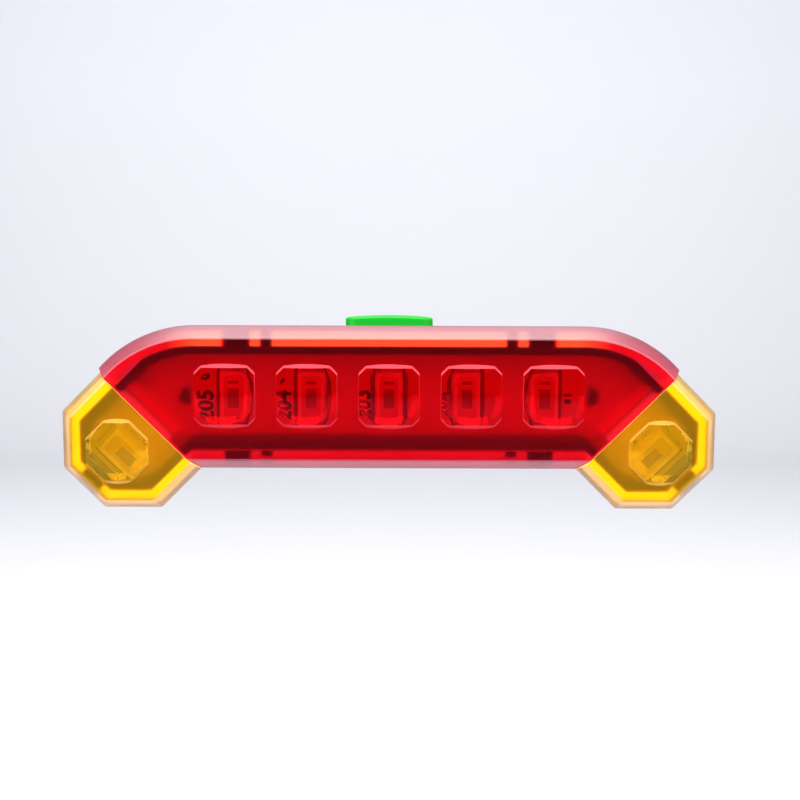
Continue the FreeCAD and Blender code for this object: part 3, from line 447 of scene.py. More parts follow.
def seam_slab(gap, corners):
    """Slab at the right-hand seam, its corners given by how far along the seam and out from it."""
    level = SEAM_LEVEL + gap * ROOT2
    return prism([(level + along + out, along - out) for along, out in corners], -5.0, 15.0)


class LAMP_OT_red_lens(bpy.types.Operator):
    """Long red lens: bevelled plate, skirt, seam walls, five crowned windows and their magnifiers"""
    bl_idname = "lamp.red_lens"
    bl_label = "Red lens"

    def execute(self, context):
        sizes = context.scene.lamp_sizes
        loops = [[(x, d, z) for x, z in red_outline(i, -OVERSHOOT)] for i, d in plate_profile(sizes)]
        obj = make_object("red_lens_finish", shell(loops))
        combine(obj, "UNION", prism(red_outline(SKIRT_INSET, -OVERSHOOT), SKIRT_FROM, SKIRT_DEPTH))
        combine(obj, "DIFFERENCE", prism(red_hollow(), PLATE, SKIRT_DEPTH + 1))
        high = red_outline(WALL_INSET, 0.0)[2]
        high_in = red_outline(WALL_INSET, WALL_THICKNESS)[2]
        low = BODY_BOTTOM + WALL_INSET
        low_x = SEAM_LEVEL + low
        wall = prism([
            (low_x + OVERSHOOT / 2, low), (high[0] + OVERSHOOT / 2, high[1]), high, high_in,
            (low_x - WALL_THICKNESS * ROOT2, low)], PLATE - 0.4, WALL_DEPTH)
        pads = [
            window_pad(sizes, sizes.window_width / MM, sizes.window_height / MM, WINDOW_CHAMFER, centre)
            for centre in RED_CENTRES]
        balls = [magnifier(sizes, centre) for centre in RED_CENTRES]
        combine(obj, "UNION", joined([wall, flipped(wall)]), joined(pads), joined(balls))
        cuts = [
            block(side * x - half, side * x + half, *depths, *heights)
            for x, half, depths, upper, lower in SKIRT_CUTS
            for side in (1, -1) for heights in (upper, lower)]
        beyond = seam_slab(0.0, ((-30, 0), (-30, 30), (30, 30), (30, 0)))
        combine(obj, "DIFFERENCE", joined(cuts), beyond, flipped(beyond))
        dress_lens(obj, True, RED_CENTRES, lens_materials("red", context.scene.lamp_colours.red))
        finish_piece(obj)
        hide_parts("red_lens")
        return {"FINISHED"}


class LAMP_OT_amber_lenses(bpy.types.Operator):
    """Two amber corner lenses, each an octagon cut off along the seam, with one window"""
    bl_idname = "lamp.amber_lenses"
    bl_label = "Amber corner lenses"

    def execute(self, context):
        sizes = context.scene.lamp_sizes
        materials = lens_materials("amber", context.scene.lamp_colours.amber)
        centre = POD_CENTRE
        wall = POD_HALF - WALL_INSET

        def limit(cos, sin):
            """Reach from the window's middle to the inner octagon of the tub."""
            reach = []
            for turn in range(8):
                nx, nz = math.cos(turn * math.pi / 4), math.sin(turn * math.pi / 4)
                ahead = cos * nx + sin * nz
                if ahead > 1e-6:
                    gap = wall - ((centre[0] - POD_X) * nx + (centre[1] - POD_Z) * nz)
                    reach.append(gap / ahead)
            return min(reach)

        chamfer = POD_WINDOW * (1 - OCTAGON) / 2
        parts = {
            "plate": shell([
                [(x, d, z) for x, z in pod_outline(i, -OVERSHOOT, 1.0 - 0.4 * min(i / BEVEL_INSET, 1.0))]
                for i, d in plate_profile(sizes)]),
            "skirt": prism(pod_outline(SKIRT_INSET, -OVERSHOOT, 0.6), SKIRT_FROM, SKIRT_DEPTH),
            "hollow": prism(pod_outline(SKIRT_INNER, -2 * OVERSHOOT, 0.3), PLATE, SKIRT_DEPTH + 1),
            "window": window_pad(sizes, POD_WINDOW, POD_WINDOW, chamfer, centre),
            "ball": magnifier(sizes, centre, limit),
            "clip": clip_cut_at_corner(),
            "red_side": seam_slab(SEAM_GAP, ((-30, 0), (30, 0), (30, -40), (-30, -40))),
        }
        for side, flip in (("right", 1), ("left", -1)):
            shape = parts if flip == 1 else {name: flipped(part) for name, part in parts.items()}
            obj = make_object(f"amber_lens_{side}_finish", shape["plate"])
            combine(obj, "UNION", shape["skirt"])
            combine(obj, "DIFFERENCE", shape["hollow"])
            combine(obj, "UNION", shape["window"], shape["ball"])
            combine(obj, "DIFFERENCE", shape["clip"], shape["red_side"])
            dress_lens(obj, False, [(flip * centre[0], centre[1])], materials)
            finish_piece(obj)
            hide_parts(f"amber_lens_{side}")
        return {"FINISHED"}


def clip_cut_at_corner():
    """Slot for the snap hook on a corner lens's lower outer side."""
    near, far, half = 8.03, 11.63, 2.45
    turn = math.radians(-45)
    cos, sin = math.cos(turn), math.sin(turn)
    corners = [(near, -half), (far, -half), (far, half), (near, half)]
    outline = [(POD_X + x * cos - z * sin, POD_Z + x * sin + z * cos) for x, z in corners]
    return prism(outline, *CLIP_DEPTHS)


# ---- materials

def add_node(tree, kind, sockets=None, **settings):
    """Adds a node with its settings. A socket given another node's output is linked to it."""
    node = tree.nodes.new(kind)
    for name, value in settings.items():
        setattr(node, name, value)
    for name, value in (sockets or {}).items():
        if isinstance(value, bpy.types.NodeSocket):
            tree.links.new(value, node.inputs[name])
        else:
            node.inputs[name].default_value = value
    return node


def new_material(name, colour, **sockets):
    """Material with one Principled shader. Returns it with its tree, shader and Object coordinates."""
    made = bpy.data.materials.new(name)
    made.use_nodes = True
    tree = made.node_tree
    tree.nodes.clear()
    named = {key.replace("_", " "): value for key, value in sockets.items()}
    shader = add_node(tree, "ShaderNodeBsdfPrincipled", {"Base Color": colour, **named})
    add_node(tree, "ShaderNodeOutputMaterial", {"Surface": shader.outputs["BSDF"]})
    place = add_node(tree, "ShaderNodeTexCoord").outputs["Object"]
    return made, tree, shader, place


def grain(tree, place, size_mm, low=0.0, high=1.0, detail=2.0):
    """Soft random pattern of a real grain size, spread between two values."""
    noise = add_node(tree, "ShaderNodeTexNoise", {
        "Vector": place, "Scale": 1 / (size_mm * MM), "Detail": detail, "Roughness": 0.55})
    spread = add_node(tree, "ShaderNodeMapRange", {
        "Value": noise.outputs["Fac"], "From Min": 0.3, "From Max": 0.7, "To Min": low, "To Max": high})
    return spread.outputs["Result"]


def ramp(tree, place, from_mm, to_mm, low=0.0, high=1.0, axis="Z"):
    """Value that goes from one to another between two heights, or two distances from the middle."""
    along = add_node(tree, "ShaderNodeSeparateXYZ", {"Vector": place}).outputs[axis]
    if axis == "X":
        along = add_node(tree, "ShaderNodeMath", {0: along}, operation="ABSOLUTE").outputs[0]
    spread = add_node(tree, "ShaderNodeMapRange", {
        "Value": along, "From Min": from_mm * MM, "From Max": to_mm * MM, "To Min": low, "To Max": high})
    return spread.outputs["Result"]


def relief(tree, shader, height, depth_mm, strength=1.0):
    """Lets a pattern stand out of the surface by a real height."""
    bump = add_node(tree, "ShaderNodeBump", {
        "Height": height, "Distance": depth_mm * MM, "Strength": strength})
    tree.links.new(bump.outputs["Normal"], shader.inputs["Normal"])


def tinted(tree, shader, value, dark, light):
    """Lets a pattern shift the colour between two near shades."""
    tree.links.new(blend(tree, value, dark, light), shader.inputs["Base Color"])


def blend(tree, value, low, high):
    """Colour between two, as a value from 0 to 1 sets it."""
    mix = add_node(tree, "ShaderNodeMix", data_type="RGBA")
    tree.links.new(value, mix.inputs["Factor"])
    for socket in mix.inputs:
        if socket.type == "RGBA":
            socket.default_value = low if socket.name == "A" else high
    return [socket for socket in mix.outputs if socket.type == "RGBA"][0]


LENS_TINTS = {
    # Finish: tint of each passage of light through that face, as the plastic's depth there gives it.
    # Gleam tints what the front mirrors. The glows are a painted glow, emission on the skirt's end in place
    # of light that the wall carries to it, and the lower bevel and rim colours are painted shade.
    "red": {
        "front": "#FA1034", "bevel": "#B23458", "under": "#B0204C", "window": "#FB2732", "inside": "#FB3F46",
        "end": "#FFFF59", "seam": "#FF957C", "rim": "#F4606E", "rim_painted_shade": "#D43848", "gleam": "#FF3650",
        "painted_glow_low": "#B01016", "painted_glow_high": "#FFFF5A"},
    "amber": {
        "front": "#F8B208", "bevel": "#E8CC78", "under": "#B88E4C", "window": "#FFCA20", "inside": "#FFC827",
        "end": "#FFFF1A", "seam": "#FFE08C", "rim": "#F0B450", "rim_painted_shade": "#F0B450", "gleam": "#FFD24A",
        "painted_glow_low": "#FFCE20", "painted_glow_high": "#FFCE20"},
}


def lens_materials(family, tint):
    """Finishes of one colour of polycarbonate, from one moulding with several surface finishes."""
    tints = {name: hex_colour(code) for name, code in LENS_TINTS[family].items()}
    scale = [t / base for t, base in zip(tint, tints["front"])]
    for name, value in tints.items():
        tints[name] = tuple(min(1.0, v * s) for v, s in zip(value, scale)) + (1.0,)
    made = []
    # The amber pigment scatters some light by itself.
    clear = 0.9 if family == "amber" else 1.0

    def finish(surface, tint_name, grain_mm, height_mm, **sockets):
        """Adds one finish of the moulding, with its own grain."""
        material, tree, shader, place = new_material(
            f"{surface}_{family}_polycarbonate", tints[tint_name], IOR=1.586, **sockets)
        relief(tree, shader, grain(tree, place, grain_mm), height_mm)
        made.append(material)
        return tree, shader, place

    # Polycarbonate, spark eroded mould face: see-through but misty, with a fine even grain.
    finish("frosted", "front", 0.16, 0.004, Roughness=0.3, Transmission_Weight=clear,
           Specular_IOR_Level=0.35, Specular_Tint=tints["gleam"])

    # The same moulding with a coarser blasted finish on the sloping rim. Its coat and colour are painted
    # light: paler towards the top, where light falls from above, and darker towards the bottom.
    tree, shader, place = finish("blasted", "bevel", 0.14, 0.01, Roughness=0.38, Transmission_Weight=0.7,
                                 Coat_Roughness=0.5, Coat_IOR=2.1)
    low, high = (0.1, 0.66) if family == "red" else (0.25, 0.85)
    tree.links.new(ramp(tree, place, -9, 9, low, high), shader.inputs["Coat Weight"])
    tinted(tree, shader, ramp(tree, place, -9, 9), tints["under"], tints["bevel"])

    # Polished windows: clear and glossy, with the faintest flow ripple of a moulded face.
    finish("polished", "window", 3.0, 0.002, Roughness=0.02, Transmission_Weight=clear,
           Specular_Tint=tints["gleam"])

    # Inside faces: smooth from the steel core of the mould, never polished.
    finish("moulded", "inside", 1.2, 0.003, Roughness=0.08, Transmission_Weight=1.0,
           Specular_Tint=tints["gleam"])

    # End of the skirt: seen from within the plastic it has a painted glow, emission in place of the daylight
    # that the wall carries along, brightest along the straight top. From behind it is plain plastic.
    tree, shader, place = finish("painted_glow_end", "end", 0.8, 0.003, Roughness=0.3, Transmission_Weight=0.4)
    within = add_node(tree, "ShaderNodeNewGeometry").outputs["Backfacing"]
    painted_glow_strength = add_node(tree, "ShaderNodeMath", {0: within, 1: 1.25}, operation="MULTIPLY").outputs[0]
    level, straight = ramp(tree, place, 1, 9.5), ramp(tree, place, 34, 40, 1.0, 0.0, "X")
    share = add_node(tree, "ShaderNodeMath", {0: level, 1: straight}, operation="MULTIPLY").outputs[0]
    glow = blend(tree, share, tints["painted_glow_low"], tints["painted_glow_high"])
    tree.links.new(glow, shader.inputs["Emission Color"])
    tree.links.new(painted_glow_strength, shader.inputs["Emission Strength"])
    tinted(tree, shader, within, tints["inside"], tints["painted_glow_low"])

    # Welded seam: cloudy where the plastic has flowed, with a fine grain of tiny bubbles, and an even painted
    # glow from emission in place of the light that they catch.
    finish("seam_painted_glow", "seam", 0.3, 0.01, Roughness=0.4, Transmission_Weight=0.2,
           Emission_Color=tints["seam"], Emission_Strength=0.5)

    # Edges of the windows: a matt rim round each polished face, which catches the light as a pale line. Its
    # colour is painted light: lighter on the upper rims and darker on the lower ones, as light falls from
    # above.
    tree, shader, place = finish("rimmed", "rim", 0.2, 0.004, Roughness=0.4, Transmission_Weight=0.6,
                                 Specular_Tint=tints["gleam"])
    tinted(tree, shader, ramp(tree, place, -5, 5), tints["rim_painted_shade"], tints["rim"])
    return made


def black_abs():
    # ABS moulded against a spark eroded face: deep black, soft broken highlights.
    made, tree, shader, place = new_material(
        "textured_black_abs", hex_colour("#17181A"), IOR=1.54, Specular_IOR_Level=0.35)
    tree.links.new(grain(tree, place, 1.5, 0.4, 0.52), shader.inputs["Roughness"])
    tinted(tree, shader, grain(tree, place, 9.0), hex_colour("#141517"), hex_colour("#1C1D20"))
    relief(tree, shader, grain(tree, place, 0.18, detail=4.0), 0.014)
    return made


def black_silicone(name="moulded_black_silicone", code="#151515"):
    # Silicone rubber, moulded: matt and slightly dusty, no sharp highlight.
    made, tree, shader, place = new_material(
        name, hex_colour(code), IOR=1.41, Sheen_Weight=0.1, Sheen_Roughness=0.45)
    tree.links.new(grain(tree, place, 2.5, 0.55, 0.7), shader.inputs["Roughness"])
    dark, light = hex_colour(code), tuple(min(1.0, c * 1.35 + 0.004) for c in hex_colour(code))
    tinted(tree, shader, grain(tree, place, 0.5, detail=5.0), dark, light)
    relief(tree, shader, grain(tree, place, 0.3), 0.008)
    return made


def green_silicone(colour):
    # Pigmented silicone that lets light a little way in, so edges glow lighter than the faces.
    made, tree, shader, place = new_material(
        "translucent_green_silicone", colour, IOR=1.41, Subsurface_Weight=0.35,
        Subsurface_Scale=0.8 * MM, Coat_Weight=0.05, Coat_Roughness=0.35, Specular_IOR_Level=0.3)
    shader.inputs["Subsurface Radius"].default_value = (0.25, 1.0, 0.35)
    tree.links.new(grain(tree, place, 1.5, 0.38, 0.5), shader.inputs["Roughness"])
    relief(tree, shader, grain(tree, place, 0.25), 0.006)
    return made


def solder_mask(name, dark, light):
    # Glass fibre board under screened solder mask: even colour, soft gloss, faint weave below.
    made, tree, shader, place = new_material(
        name, hex_colour(light), IOR=1.52, Coat_Weight=0.4, Coat_Roughness=0.2)
    tree.links.new(grain(tree, place, 2.0, 0.3, 0.42), shader.inputs["Roughness"])
    tinted(tree, shader, grain(tree, place, 5.0), hex_colour(dark), hex_colour(light))
    weave = add_node(
        tree, "ShaderNodeTexVoronoi", {"Vector": place, "Scale": 1 / (0.5 * MM)}, distance="CHEBYCHEV")
    relief(tree, shader, weave.outputs["Distance"], 0.004, 0.6)
    return made


def moulded(name, code, roughness, grain_mm=0.3, height_mm=0.006, **sockets):
    # Small moulded or pressed part: one colour with a slight mottle and its own grain.
    made, tree, shader, place = new_material(name, hex_colour(code), **sockets)
    patches = grain(tree, place, 4 * grain_mm, roughness - 0.05, roughness + 0.06)
    tree.links.new(patches, shader.inputs["Roughness"])
    base = hex_colour(code)
    tinted(tree, shader, grain(tree, place, 1.7), tuple(c * 0.9 for c in base[:3]) + (1.0,), base)
    relief(tree, shader, grain(tree, place, grain_mm), height_mm)
    return made


def bare_metal(name, code, roughness, stretch=(1.0, 1.0, 1.0), grain_mm=0.25):
    # Plated or rolled metal: full reflections broken by fine lines along the working direction.
    made, tree, shader, place = new_material(name, hex_colour(code), Metallic=1.0)
    along = add_node(tree, "ShaderNodeMapping", {"Vector": place, "Scale": stretch}).outputs["Vector"]
    lines = grain(tree, along, grain_mm, roughness - 0.06, roughness + 0.08, 4.0)
    tree.links.new(lines, shader.inputs["Roughness"])
    relief(tree, shader, grain(tree, along, grain_mm), 0.003)
    return made


# ---- rows of small things

def row_tree():
    """Node tree that sets a row of blocks along a line."""
    tree = bpy.data.node_groups.new("row_of_blocks", "GeometryNodeTree")
    inputs = (
        ("Count", "NodeSocketInt"), ("Start", "NodeSocketVector"), ("Pitch", "NodeSocketVector"),
        ("Block size", "NodeSocketVector"), ("Finish", "NodeSocketMaterial"),
    )
    for name, kind in inputs:
        tree.interface.new_socket(name, in_out="INPUT", socket_type=kind)
    tree.interface.new_socket("Geometry", in_out="OUTPUT", socket_type="NodeSocketGeometry")
    given = add_node(tree, "NodeGroupInput").outputs
    line = add_node(tree, "GeometryNodeMeshLine", {
        "Count": given["Count"], "Start Location": given["Start"], "Offset": given["Pitch"]}, mode="OFFSET")
    cube = add_node(tree, "GeometryNodeMeshCube", {"Size": given["Block size"]})
    instances = add_node(tree, "GeometryNodeInstanceOnPoints", {
        "Points": line.outputs["Mesh"], "Instance": cube.outputs["Mesh"]})
    solid = add_node(tree, "GeometryNodeRealizeInstances", {"Geometry": instances.outputs["Instances"]})
    finished = add_node(tree, "GeometryNodeSetMaterial", {
        "Geometry": solid.outputs["Geometry"], "Material": given["Finish"]})
    add_node(tree, "NodeGroupOutput", {"Geometry": finished.outputs["Geometry"]})
    return tree


def row_mesh(tree, count, start, pitch, size, finish, edge=0.0):
    """One row as a plain mesh. Start is the middle of the first block; all sizes in millimetres."""
    obj = new_object("row", bpy.data.meshes.new("row"))
    modifier = obj.modifiers.new("row", "NODES")
    modifier.node_group = tree
    values = {
        "Count": count, "Start": spot(*start), "Pitch": Vector(pitch) * MM, "Block size": Vector(size) * MM,
        "Finish": finish}
    for item in tree.interface.items_tree:
        if item.name in values:
            modifier[item.identifier] = values[item.name]
    if edge:
        soften(obj, edge)
    bake_modifiers(obj)
    mesh = obj.data
    bpy.data.objects.remove(obj)
    return mesh


def gather(name, meshes, matrices=None):
    """One object from several meshes, each moved by its own matrix, that keeps their materials."""
    finishes = []
    bm = bmesh.new()
    for i, mesh in enumerate(meshes):
        start = len(bm.faces)
        part = mesh.copy()
        if matrices and matrices[i] is not None:
            part.transform(matrices[i])
        index = {}
        for k, finish in enumerate(part.materials):
            if finish not in finishes:
                finishes.append(finish)
            index[k] = finishes.index(finish)
        bm.from_mesh(part)
        bm.faces.ensure_lookup_table()
        for face in bm.faces[start:]:
            face.material_index = index.get(face.material_index, 0)
        bpy.data.meshes.remove(part)
    result = mesh_from(bm, name)
    for finish in finishes:
        result.materials.append(finish)
    return new_object(name, result)


def with_corners(name, meshes, corner):
    """One object from meshes in place and a mesh repeated, turned, at both corner light sources."""
    moves = [None] * len(meshes)
    shift = POD_LED_SHIFT / ROOT2
    for side in (1, -1):
        height = POD_CENTRE[1] - WINDOW_LIFT - LED_DROP - shift
        centre = Vector((side * (POD_CENTRE[0] + shift), 0.0, height)) * MM
        moves.append(Matrix.Translation(centre) @ Matrix.Rotation(side * math.radians(45), 4, "Y"))
    return gather(name, meshes + [corner, corner], moves)


def lettering(text, size, x, z, depth, finish):
    """Mesh of flat plain digits on the board that read upwards. Size and place are in millimetres."""
    curve = bpy.data.curves.new("mark", "FONT")
    curve.body = text
    curve.size = size * MM
    curve.align_x = "CENTER"
    curve.align_y = "CENTER"
    curve.resolution_u = 4
    curve.offset = 0.07 * MM
    writing = new_object("mark", curve)
    mesh = bpy.data.meshes.new_from_object(writing.evaluated_get(bpy.context.evaluated_depsgraph_get()))
    bpy.data.objects.remove(writing)
    bpy.data.curves.remove(curve)
    upright = Matrix.Rotation(math.radians(90), 4, "X")
    reading_up = Matrix.Rotation(math.radians(-90), 4, "Y")
    mesh.transform(Matrix.Translation(spot(x, depth, z)) @ reading_up @ upright)
    mesh.materials.clear()
    mesh.materials.append(finish)
    return mesh


class LAMP_OT_board(bpy.types.Operator):
    """White board with its screened marks, painted shadow lines beside the light sources, and the parts
    soldered to both faces
    """
    bl_idname = "lamp.board"
    bl_label = "Board"

    def execute(self, context):
        mask = solder_mask("white_solder_mask", "#D9D7CF", "#E4E2DB")
        refined("led_board", mask, 0.08)
        ink = moulded("screened_black_ink", "#2B2828", 0.5, 0.1, 0.002)
        grey = moulded("painted_shadow_grey_ink", "#8C8680", 0.5, 0.1, 0.002)
        # Grey lines on both sides of each light source are painted shadow of the packages' sides on the
        # board, laid on as screened ink.
        tree = row_tree()
        on_board, beside = BOARD_DEPTH - 0.02, 1.72
        rows = []
        for side in (-beside, beside):
            start = (RED_CENTRES[0][0] + side, on_board, LED_Z)
            rows.append(row_mesh(tree, 5, start, (WINDOW_PITCH, 0, 0), (0.42, 0.02, 7.8), grey))
        corner = row_mesh(tree, 2, (-beside, on_board, 0.0), (2 * beside, 0, 0), (0.16, 0.02, 6.0), grey)
        # Plain counting numbers and marks: text, size, light source, and place from the window's middle
        marks = (
            ("205", 2.3, 0, -3.0, -1.7), ("204", 2.2, 1, -2.9, -1.7), ("203", 2.2, 2, -2.65, -1.6),
            ("202", 1.9, 3, -2.6, -1.7), ("0", 1.3, 0, -3.1, 1.3), ("+", 1.4, 1, -3.1, 0.95),
            ("8 1", 0.9, 4, 2.6, -0.8))
        rows += [
            lettering(text, size, RED_CENTRES[i][0] + x, WINDOW_Z + z, on_board, ink)
            for text, size, i, x, z in marks]
        finish_piece(with_corners("screened_marks_and_painted_shadow", rows, corner))

        steel = bare_metal("blackened_steel", "#3A3A3C", 0.35)
        refined("board_screws", steel, 0.05)
        epoxy = moulded("moulded_black_epoxy", "#141416", 0.5, 0.2)
        for node in ("controller_chip", "charger_chip"):
            refined(node, epoxy, 0.05)
        refined("board_resistors", moulded("resistor_glaze", "#1B1B22", 0.25, 0.4), 0.05)
        refined("board_capacitors", moulded("fired_ceramic", "#A98B5E", 0.45, 0.2), 0.06)
        refined("charger_choke", moulded("pressed_ferrite", "#2B2C30", 0.6, 0.15, 0.01), 0.1)
        refined("charge_indicator", moulded("white_nylon", "#EDEBE3", 0.4, 0.3), 0.05)
        refined("switch_body", epoxy, 0.08)
        refined("switch_plunger", moulded("black_nylon", "#1A1A1C", 0.42, 0.3), 0.08, "plunger")

        # Solder on both ends of the resistors and on the pads beside the controller chip
        tin = bare_metal("reflowed_tin", "#C9CACB", 0.22)
        ends = [row_mesh(tree, 7, (22.4, 11.4, z), (1.9, 0, 0), (1.28, 0.6, 0.34), tin, 0.05)
                for z in (3.0 - 0.85, 3.0 + 0.85)]
        pads = [row_mesh(tree, 4, (12.05 - 1.905, 11.12, z), (1.27, 0, 0), (0.6, 0.05, 0.9), tin)
                for z in (-3.1, 3.1)]
        finish_piece(gather("solder_ends", ends + pads))
        return {"FINISHED"}


class LAMP_OT_light_sources(bpy.types.Operator):
    """Seven white light source packages with resin cups, dies and solder joints"""
    bl_idname = "lamp.light_sources"
    bl_label = "Light sources"

    def execute(self, context):
        # The packages carry a faint painted glow, a little emission of their own colour, so that they look
        # lit deep in the tub.
        package = moulded(
            "white_moulded_package", "#F6F4EE", 0.38, 0.3, 0.004,
            Emission_Color=hex_colour("#F6F4EE"), Emission_Strength=0.07)
        for name in [f"red_led_{i}" for i in range(1, 6)] + ["amber_led_left", "amber_led_right"]:
            refined(name, package, 0.05)
        resin = moulded(
            "clear_casting_resin", "#EAE4D4", 0.12, 1.0, 0.003, Coat_Weight=0.6, Coat_Roughness=0.05)
        refined("led_resin_fills", resin, 0.0)
        tree = row_tree()
        phosphor = moulded("die_under_resin", "#A88A68", 0.3, 0.2)
        tin = bare_metal("tinned_copper", "#DEDEDA", 0.55)
        first, along = RED_CENTRES[0][0], (WINDOW_PITCH, 0, 0)
        # Each source has a die and a slim bar above it, or in the corners one die alone.
        depth = LED_TOP_DEPTH + 0.04
        dies = [row_mesh(tree, 5, (first, depth, LED_Z + z), along, size, phosphor)
                for z, size in ((0.0, (1.2, 0.03, 2.2)), (1.75, (1.2, 0.03, 0.34)))]
        corner_die = row_mesh(tree, 1, (0, depth, 0), (1, 0, 0), (1.15, 0.03, 2.1), phosphor)
        finish_piece(with_corners("source_dies", dies, corner_die))
        # A fillet of solder runs along both ends of each package.
        end, size, depth = 3.0, (2.3, 0.34, 0.5), BOARD_DEPTH - 0.17
        joints = [row_mesh(tree, 5, (first, depth, LED_Z + z), along, size, tin, 0.12) for z in (-end, end)]
        corner_joint = row_mesh(tree, 2, (0, depth, -end), (0, 0, 2 * end), size, tin, 0.12)
        finish_piece(with_corners("source_joints", joints, corner_joint))
        return {"FINISHED"}


class LAMP_OT_housing(bpy.types.Operator):
    """Black tub with its hooks, saddle and collar, and the seal under the lenses"""
    bl_idname = "lamp.housing"
    bl_label = "Tub and seal"

    def execute(self, context):
        refined("rear_housing", black_abs(), 0.2)
        refined("lens_gasket", black_silicone("cast_silicone_seal", "#1B1B1C"), 0.1)
        return {"FINISHED"}


class LAMP_OT_button(bpy.types.Operator):
    """Green push button and the clear sheet that seals it"""
    bl_idname = "lamp.button"
    bl_label = "Push button"

    def execute(self, context):
        green = green_silicone(tuple(context.scene.lamp_colours.green) + (1.0,))
        refined("power_button", green, 0.12, "button")
        sheet = moulded("grey_silicone_sheet", "#8C8C90", 0.5, 0.5, 0.01)
        refined("button_seal", sheet, 0.1)
        return {"FINISHED"}


class LAMP_OT_charging_port(bpy.types.Operator):
    """Charging socket with its contacts, and the rubber cover below it"""
    bl_idname = "lamp.charging_port"
    bl_label = "Charging port"

    def execute(self, context):
        shell_metal = bare_metal("nickel_plated_shell", "#BEBBB2", 0.25)
        refined("charging_socket", shell_metal, 0.05)
        refined("socket_tongue", moulded("black_contact_carrier", "#161618", 0.4, 0.2), 0.05)
        low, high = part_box("socket_tongue")
        gold = bare_metal("gold_flash_contacts", "#D8B25A", 0.2)
        depth = low[1] / MM - FRONT_Y - 0.01
        middle = (low[2] + high[2]) / 2 / MM
        pins = row_mesh(row_tree(), 5, (-1.3, depth, middle), (0.65, 0, 0), (0.3, 0.03, 2.6), gold)
        finish_piece(gather("socket_contacts", [pins]))
        rubber = black_silicone("port_cover_silicone", "#181819")
        refined("port_cover", rubber, 0.12, "cover")
        refined("port_cover_anchor", rubber, 0.12)
        return {"FINISHED"}


class LAMP_OT_battery(bpy.types.Operator):
    """Lithium cell in its foil, with foam, protection board and nickel tabs"""
    bl_idname = "lamp.battery"
    bl_label = "Battery"

    def execute(self, context):
        foil = bare_metal("aluminium_laminate_foil", "#C3C5C8", 0.35, (1.0, 1.0, 0.2), 1.2)
        refined("battery_cell", foil, 0.3)
        refined("battery_foam_pad", moulded("closed_cell_foam", "#2A2A2A", 0.8, 0.25, 0.03), 0.1)
        green = solder_mask("green_solder_mask", "#0E4A2C", "#12603A")
        refined("battery_guard_board", green, 0.05)
        strip = bare_metal("rolled_nickel_strip", "#C7C2B6", 0.28, (6.0, 1.0, 1.0))
        refined("battery_tabs", strip, 0.03)
        return {"FINISHED"}


class LAMP_OT_strap_mount(bpy.types.Operator):
    """Silicone strap, its steel pin and the ribbed pad in the saddle"""
    bl_idname = "lamp.strap_mount"
    bl_label = "Strap and pad"

    def execute(self, context):
        rubber = black_silicone()
        refined("mounting_strap", rubber, 0.3, "strap")
        refined("post_pad", rubber, 0.15)
        refined("strap_pin", bare_metal("turned_steel_pin", "#B4B4B2", 0.3), 0.25)
        return {"FINISHED"}


# ---- stage

def softbox(name, location, size_x, size_y, radiance):
    """Rectangular soft light, turned to the lamp. Radiance is how bright its face looks."""
    light = bpy.data.lights.new(name, "AREA")
    light.shape = "RECTANGLE"
    light.size, light.size_y = size_x, size_y
    light.energy = radiance * math.pi * size_x * size_y
    obj = new_object(name, light)
    obj.location = location
    obj.rotation_euler = (Vector() - Vector(location)).to_track_quat("-Z", "Y").to_euler()


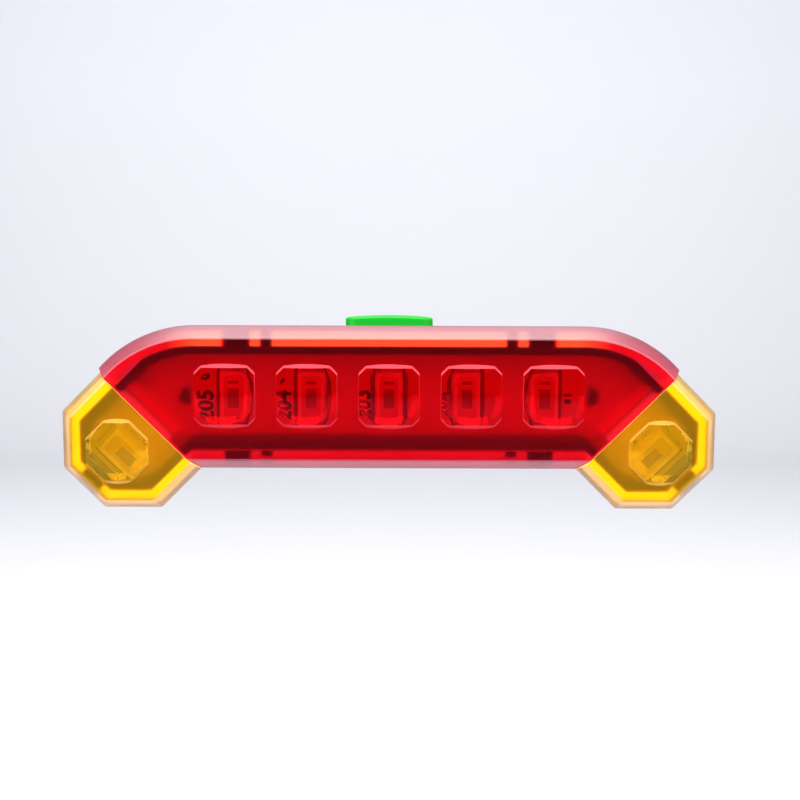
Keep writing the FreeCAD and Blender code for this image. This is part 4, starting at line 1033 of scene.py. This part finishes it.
class LAMP_OT_stage(bpy.types.Operator):
    """Pale floor that sweeps up into a backdrop, soft lights and the camera"""
    bl_idname = "lamp.stage"
    bl_label = "Studio"

    def execute(self, context):
        studio = context.scene.lamp_studio
        floor_z, top_z, front_y, back_y, half_width = -0.16, 1.6, -1.4, 1.1, 2.2
        bend, steps = 0.35, 24
        profile = [(front_y, floor_z)]
        for i in range(steps + 1):
            angle = math.pi / 2 * i / steps
            profile.append((back_y - bend + bend * math.sin(angle), floor_z + bend * (1 - math.cos(angle))))
        profile.append((back_y, top_z))
        bm = bmesh.new()
        rows = [[bm.verts.new((x, y, z)) for y, z in profile] for x in (-half_width, half_width)]
        for i in range(len(profile) - 1):
            bm.faces.new([rows[0][i], rows[0][i + 1], rows[1][i + 1], rows[1][i]])
        bmesh.ops.recalc_face_normals(bm, faces=bm.faces)
        mesh = mesh_from(bm, "paper_sweep")
        mesh.polygons.foreach_set("use_smooth", [True] * len(mesh.polygons))
        sweep = new_object("paper_sweep", mesh)

        # Seamless background paper: matt, with a faint unevenness from its pulp.
        paper, tree, shader, place = new_material("pale_seamless_paper", tuple(studio.backdrop) + (1.0,))
        tree.links.new(grain(tree, place, 40.0, 0.85, 0.95), shader.inputs["Roughness"])
        mesh.materials.append(paper)

        softbox("top_softbox", (0.0, 0.0, 0.75), 0.8, 0.7, studio.top_light)
        softbox("front_top_softbox", (0.0, -0.78, 0.72), 1.0, 0.4, studio.front_light)
        softbox("left_softbox", (-0.78, -0.5, 0.2), 0.6, 0.7, studio.side_light)
        softbox("right_softbox", (0.78, -0.5, 0.2), 0.6, 0.7, studio.side_light)

        world = bpy.data.worlds.new("studio_air")
        world.use_nodes = True
        background = world.node_tree.nodes["Background"]
        background.inputs["Color"].default_value = hex_colour("#EEF0F6")
        background.inputs["Strength"].default_value = studio.room_light
        context.scene.world = world
        context.scene.view_settings.view_transform = "Standard"

        # The camera stands close and looks down a little. The lamp is 11 pixels left of the middle.
        camera = bpy.data.cameras.new("photo_camera")
        camera.sensor_width = 36.0
        camera.lens = 55.3
        camera.shift_x = 11 / 800
        camera.clip_start = 0.01
        eye = new_object("photo_camera", camera)
        ahead, above, down, roll = 214.3, 29.3, math.radians(7.76), math.radians(0.2)
        eye.location = (0.0, (FRONT_Y - ahead) * MM, above * MM)
        aim = Matrix.Rotation(math.pi / 2 - down, 4, "X") @ Matrix.Rotation(roll, 4, "Z")
        eye.rotation_euler = aim.to_euler()
        context.scene.camera = eye
        return {"FINISHED"}


# ---- settings, panel and run

def length(name, text, millimetres):
    return bpy.props.FloatProperty(
        name=name, description=text, default=millimetres * MM, subtype="DISTANCE", unit="LENGTH", precision=5)


def paint(name, text, code):
    return bpy.props.FloatVectorProperty(
        name=name, description=text, default=hex_colour(code)[:3], subtype="COLOR", min=0.0, max=1.0)


def brightness(name, text, value):
    return bpy.props.FloatProperty(name=name, description=text, default=value, min=0.0)


class LampSizes(bpy.types.PropertyGroup):
    window_width: length("Window width", "Width of a raised window in the red lens", 10.7)
    window_height: length("Window height", "Height of a raised window in the red lens", 10.8)
    window_rise: length("Window rise", "How far a window stands out of the lens", 1.2)
    dome_radius: length("Dome radius", "Radius of a window's domed face", 20.0)
    magnifier_bulge: length("Magnifier bulge", "How far the ball cap behind a window stands in", 0.95)
    edge_rounding: length("Edge rounding", "Radius of the lens's outer edges", 0.3)


class LampColours(bpy.types.PropertyGroup):
    red: paint("Red", "Tint of the red lens", "#FA1034")
    amber: paint("Amber", "Tint of the corner lenses", "#F8B208")
    green: paint("Green", "Colour of the push button", "#06A022")


class LampStudio(bpy.types.PropertyGroup):
    backdrop: paint("Backdrop", "Colour of the paper", "#DCDCE2")
    top_light: brightness("Top light", "Brightness of the overhead softbox", 4.0)
    front_light: brightness("Front light", "Brightness of the high front softbox", 13.0)
    side_light: brightness("Side lights", "Brightness of the softboxes at both sides", 5.0)
    room_light: brightness("Room light", "Light from all round", 0.15)


OPERATORS = (
    LAMP_OT_housing, LAMP_OT_board, LAMP_OT_light_sources, LAMP_OT_battery, LAMP_OT_charging_port,
    LAMP_OT_button, LAMP_OT_strap_mount, LAMP_OT_red_lens, LAMP_OT_amber_lenses, LAMP_OT_stage,
)


class LAMP_PT_panel(bpy.types.Panel):
    bl_idname = "LAMP_PT_panel"
    bl_label = "Tail light"
    bl_space_type = "VIEW_3D"
    bl_region_type = "UI"
    bl_category = "Tail light"

    def draw(self, context):
        column = self.layout.column()
        for group in (context.scene.lamp_sizes, context.scene.lamp_colours, context.scene.lamp_studio):
            for name in group.__annotations__:
                column.prop(group, name)
        for operator in OPERATORS:
            column.operator(operator.bl_idname)


CLASSES = (LampSizes, LampColours, LampStudio) + OPERATORS + (LAMP_PT_panel,)


def register():
    for item in CLASSES:
        bpy.utils.register_class(item)
    bpy.types.Scene.lamp_sizes = bpy.props.PointerProperty(type=LampSizes)
    bpy.types.Scene.lamp_colours = bpy.props.PointerProperty(type=LampColours)
    bpy.types.Scene.lamp_studio = bpy.props.PointerProperty(type=LampStudio)


def unregister():
    del bpy.types.Scene.lamp_sizes
    del bpy.types.Scene.lamp_colours
    del bpy.types.Scene.lamp_studio
    for item in reversed(CLASSES):
        bpy.utils.unregister_class(item)


def main():
    register()
    for operator in OPERATORS:
        group, name = operator.bl_idname.split(".")
        getattr(getattr(bpy.ops, group), name)()


if __name__ == "__main__":
    main()
